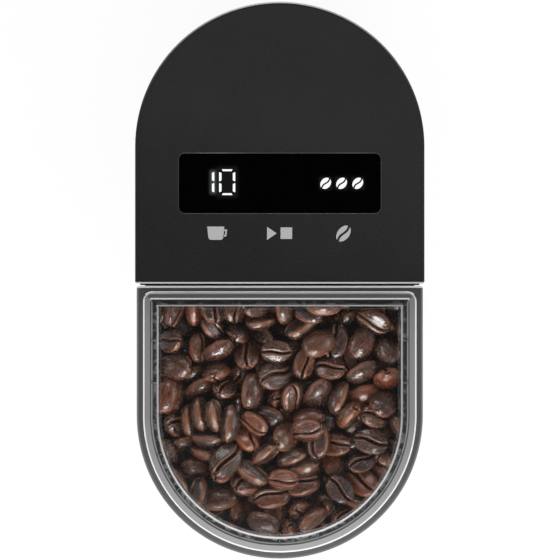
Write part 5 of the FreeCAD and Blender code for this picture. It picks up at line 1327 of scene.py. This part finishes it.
def lid_ribs():
    """Short radial plates, evenly spaced round the front arc and along both sides."""
    turn = np.linspace(0.1, 0.9, ARC_RIBS) * np.pi
    arc = np.stack([np.cos(turn), -np.sin(turn)], -1)
    along = np.linspace(arc_y + RIBS_FRONT, hopper_high.y - RIBS_REAR, SIDE_RIBS)
    beside = np.stack([0 * along, along], -1)
    foot = np.concatenate([0 * arc + [0.0, arc_y], beside, beside])
    sides = np.repeat([[1.0, 0.0], [-1.0, 0.0]], SIDE_RIBS, axis=0)
    way = np.concatenate([arc, sides])
    wide = np.stack([-way[:, 1], way[:, 0]], -1) * RIB_HALF
    ribs = []
    for start, direction, half in zip(foot, way, wide):
        ends = start + direction * np.array([[HALF_WIDTH - RIB_OUT], [HALF_WIDTH - RIB_IN]])
        ribs.append(plate(ends - half, ends + half, lid_panel - SUNK, lid_panel + RIB_RISE))
    return ribs


rib_finish = moulded("pale_ribs", (0.12, 0.12, 0.122, 1), 0.3, 0.004, 0.4)
fill_piece("lid_ribs", join_shapes(lid_ribs()), rib_finish, "hopper_lid",
           smooth=False)

# %% [markdown]
# ## Floor, light and camera
# The photograph is a packshot on pure white. A floor lit until it is white would flood the
# grinder with light, so the floor is pale, and shows mostly its own colour to the camera, to
# reflections and through clear plastic, while a part of it still takes the shadow.

# %% Floor
FLOOR_HALF, OWN_SHARE = 12, 0.9
floor_line = np.linspace(-FLOOR_HALF, FLOOR_HALF, 3)
floor_grid = np.meshgrid(floor_line, floor_line, [0.0], indexing="ij")
floor_points = np.stack(floor_grid, -1).reshape(-1, 3)
floor_mesh = bpy.data.meshes.new("floor")
floor_mesh.from_pydata(floor_points.tolist(), [], grid_faces(3, 3).tolist())
floor = bpy.data.objects.new("floor", floor_mesh)
scene.collection.objects.link(floor)
floor_finish, floor_place = new_finish("floor_white")
seen = floor_place.add("ShaderNodeLightPath").node
direct = Wire(seen, "Is Camera Ray").math("MAXIMUM", Wire(seen, "Is Glossy Ray"))
direct = direct.math("MAXIMUM", Wire(seen, "Is Transmission Ray"))
matt = floor_place.add("ShaderNodeBsdfDiffuse", inputs={
    "Color": blend(noise(floor_place, 120.0), grey(0.93), grey(0.97))})
own = floor_place.add("ShaderNodeEmission", inputs={"Color": grey(1.0), "Strength": 1.0})
close(floor_place, floor_place.add("ShaderNodeMixShader", inputs={
    0: direct * OWN_SHARE, 1: matt, 2: own}))
floor_mesh.materials.append(floor_finish)
print("floor laid")

# %% [markdown]
# ## Soft light from the sides
# A glossy black window looks black only if nothing bright hangs straight above it. So the sky
# is dark overhead and bright at the horizon, which draws the thin white lines along round
# edges, and five soft boxes stand round the grinder. Their strength is set so that a colour
# renders about as it is written.

# %% Sky and soft boxes
world = bpy.data.worlds.new("studio")
scene.world = world
world.use_nodes = True
world.node_tree.nodes.clear()
way = Wire(world.node_tree.nodes.new("ShaderNodeTexCoord"), "Generated")
_, _, height = axes(way)
sky = way.add("ShaderNodeValToRGB", {"stops": [
    (0.0, grey(0.95)), (0.3, grey(0.8)), (0.7, grey(0.22)), (1.0, grey(0.03))]}, {"Fac": height})
glow_sky = way.add("ShaderNodeBackground", inputs={"Color": sky, "Strength": 1.0})
way.add("ShaderNodeOutputWorld", inputs={"Surface": glow_sky})

AIM = (0.0, 0.0, 0.36)
SOFT_BOXES = {
    "front_box": ((0.2, -0.9, 1.3), 0.45, 0.35, 9.0),
    "low_front_box": ((-0.1, -1.5, 0.86), 0.9, 0.35, 18.0),
    "rear_box": ((-0.1, 1.25, 1.2), 1.2, 0.6, 7.0),
    "left_box": ((-1.3, 0.1, 1.05), 0.9, 0.5, 4.5),
    "right_box": ((1.3, 0.1, 1.05), 0.9, 0.5, 4.5),
}


def soft_box(name, place, width, rise, power):
    """A rectangular lamp at a place, turned to face the top of the grinder."""
    lamp = bpy.data.lights.new(name, "AREA")
    lamp.shape, lamp.size, lamp.size_y, lamp.energy = "RECTANGLE", width, rise, power
    stand = bpy.data.objects.new(name, lamp)
    scene.collection.objects.link(stand)
    stand.location = place
    towards = Vector(AIM) - Vector(place)
    stand.rotation_euler = towards.to_track_quat("-Z", "Y").to_euler()
    stand.visible_camera = False


for name, stand in SOFT_BOXES.items():
    soft_box(name, *stand)
print("sky and", len(SOFT_BOXES), "soft boxes")

# %% [markdown]
# ## Camera
# The photograph looks straight down from far away, with a long lens, so the grinder's sides
# stay hidden behind its top.

# %% Camera straight above
LENS, SENSOR = 162.6, 36.0
CAMERA_PLACE = (0.1 * MM, 0.77 * MM, 1.532)
lens = bpy.data.cameras.new("above")
lens.lens, lens.sensor_width = LENS, SENSOR
camera = bpy.data.objects.new("above", lens)
camera.location = CAMERA_PLACE
scene.collection.objects.link(camera)
scene.camera = camera
print("camera at", tuple(round(v, 3) for v in camera.location))
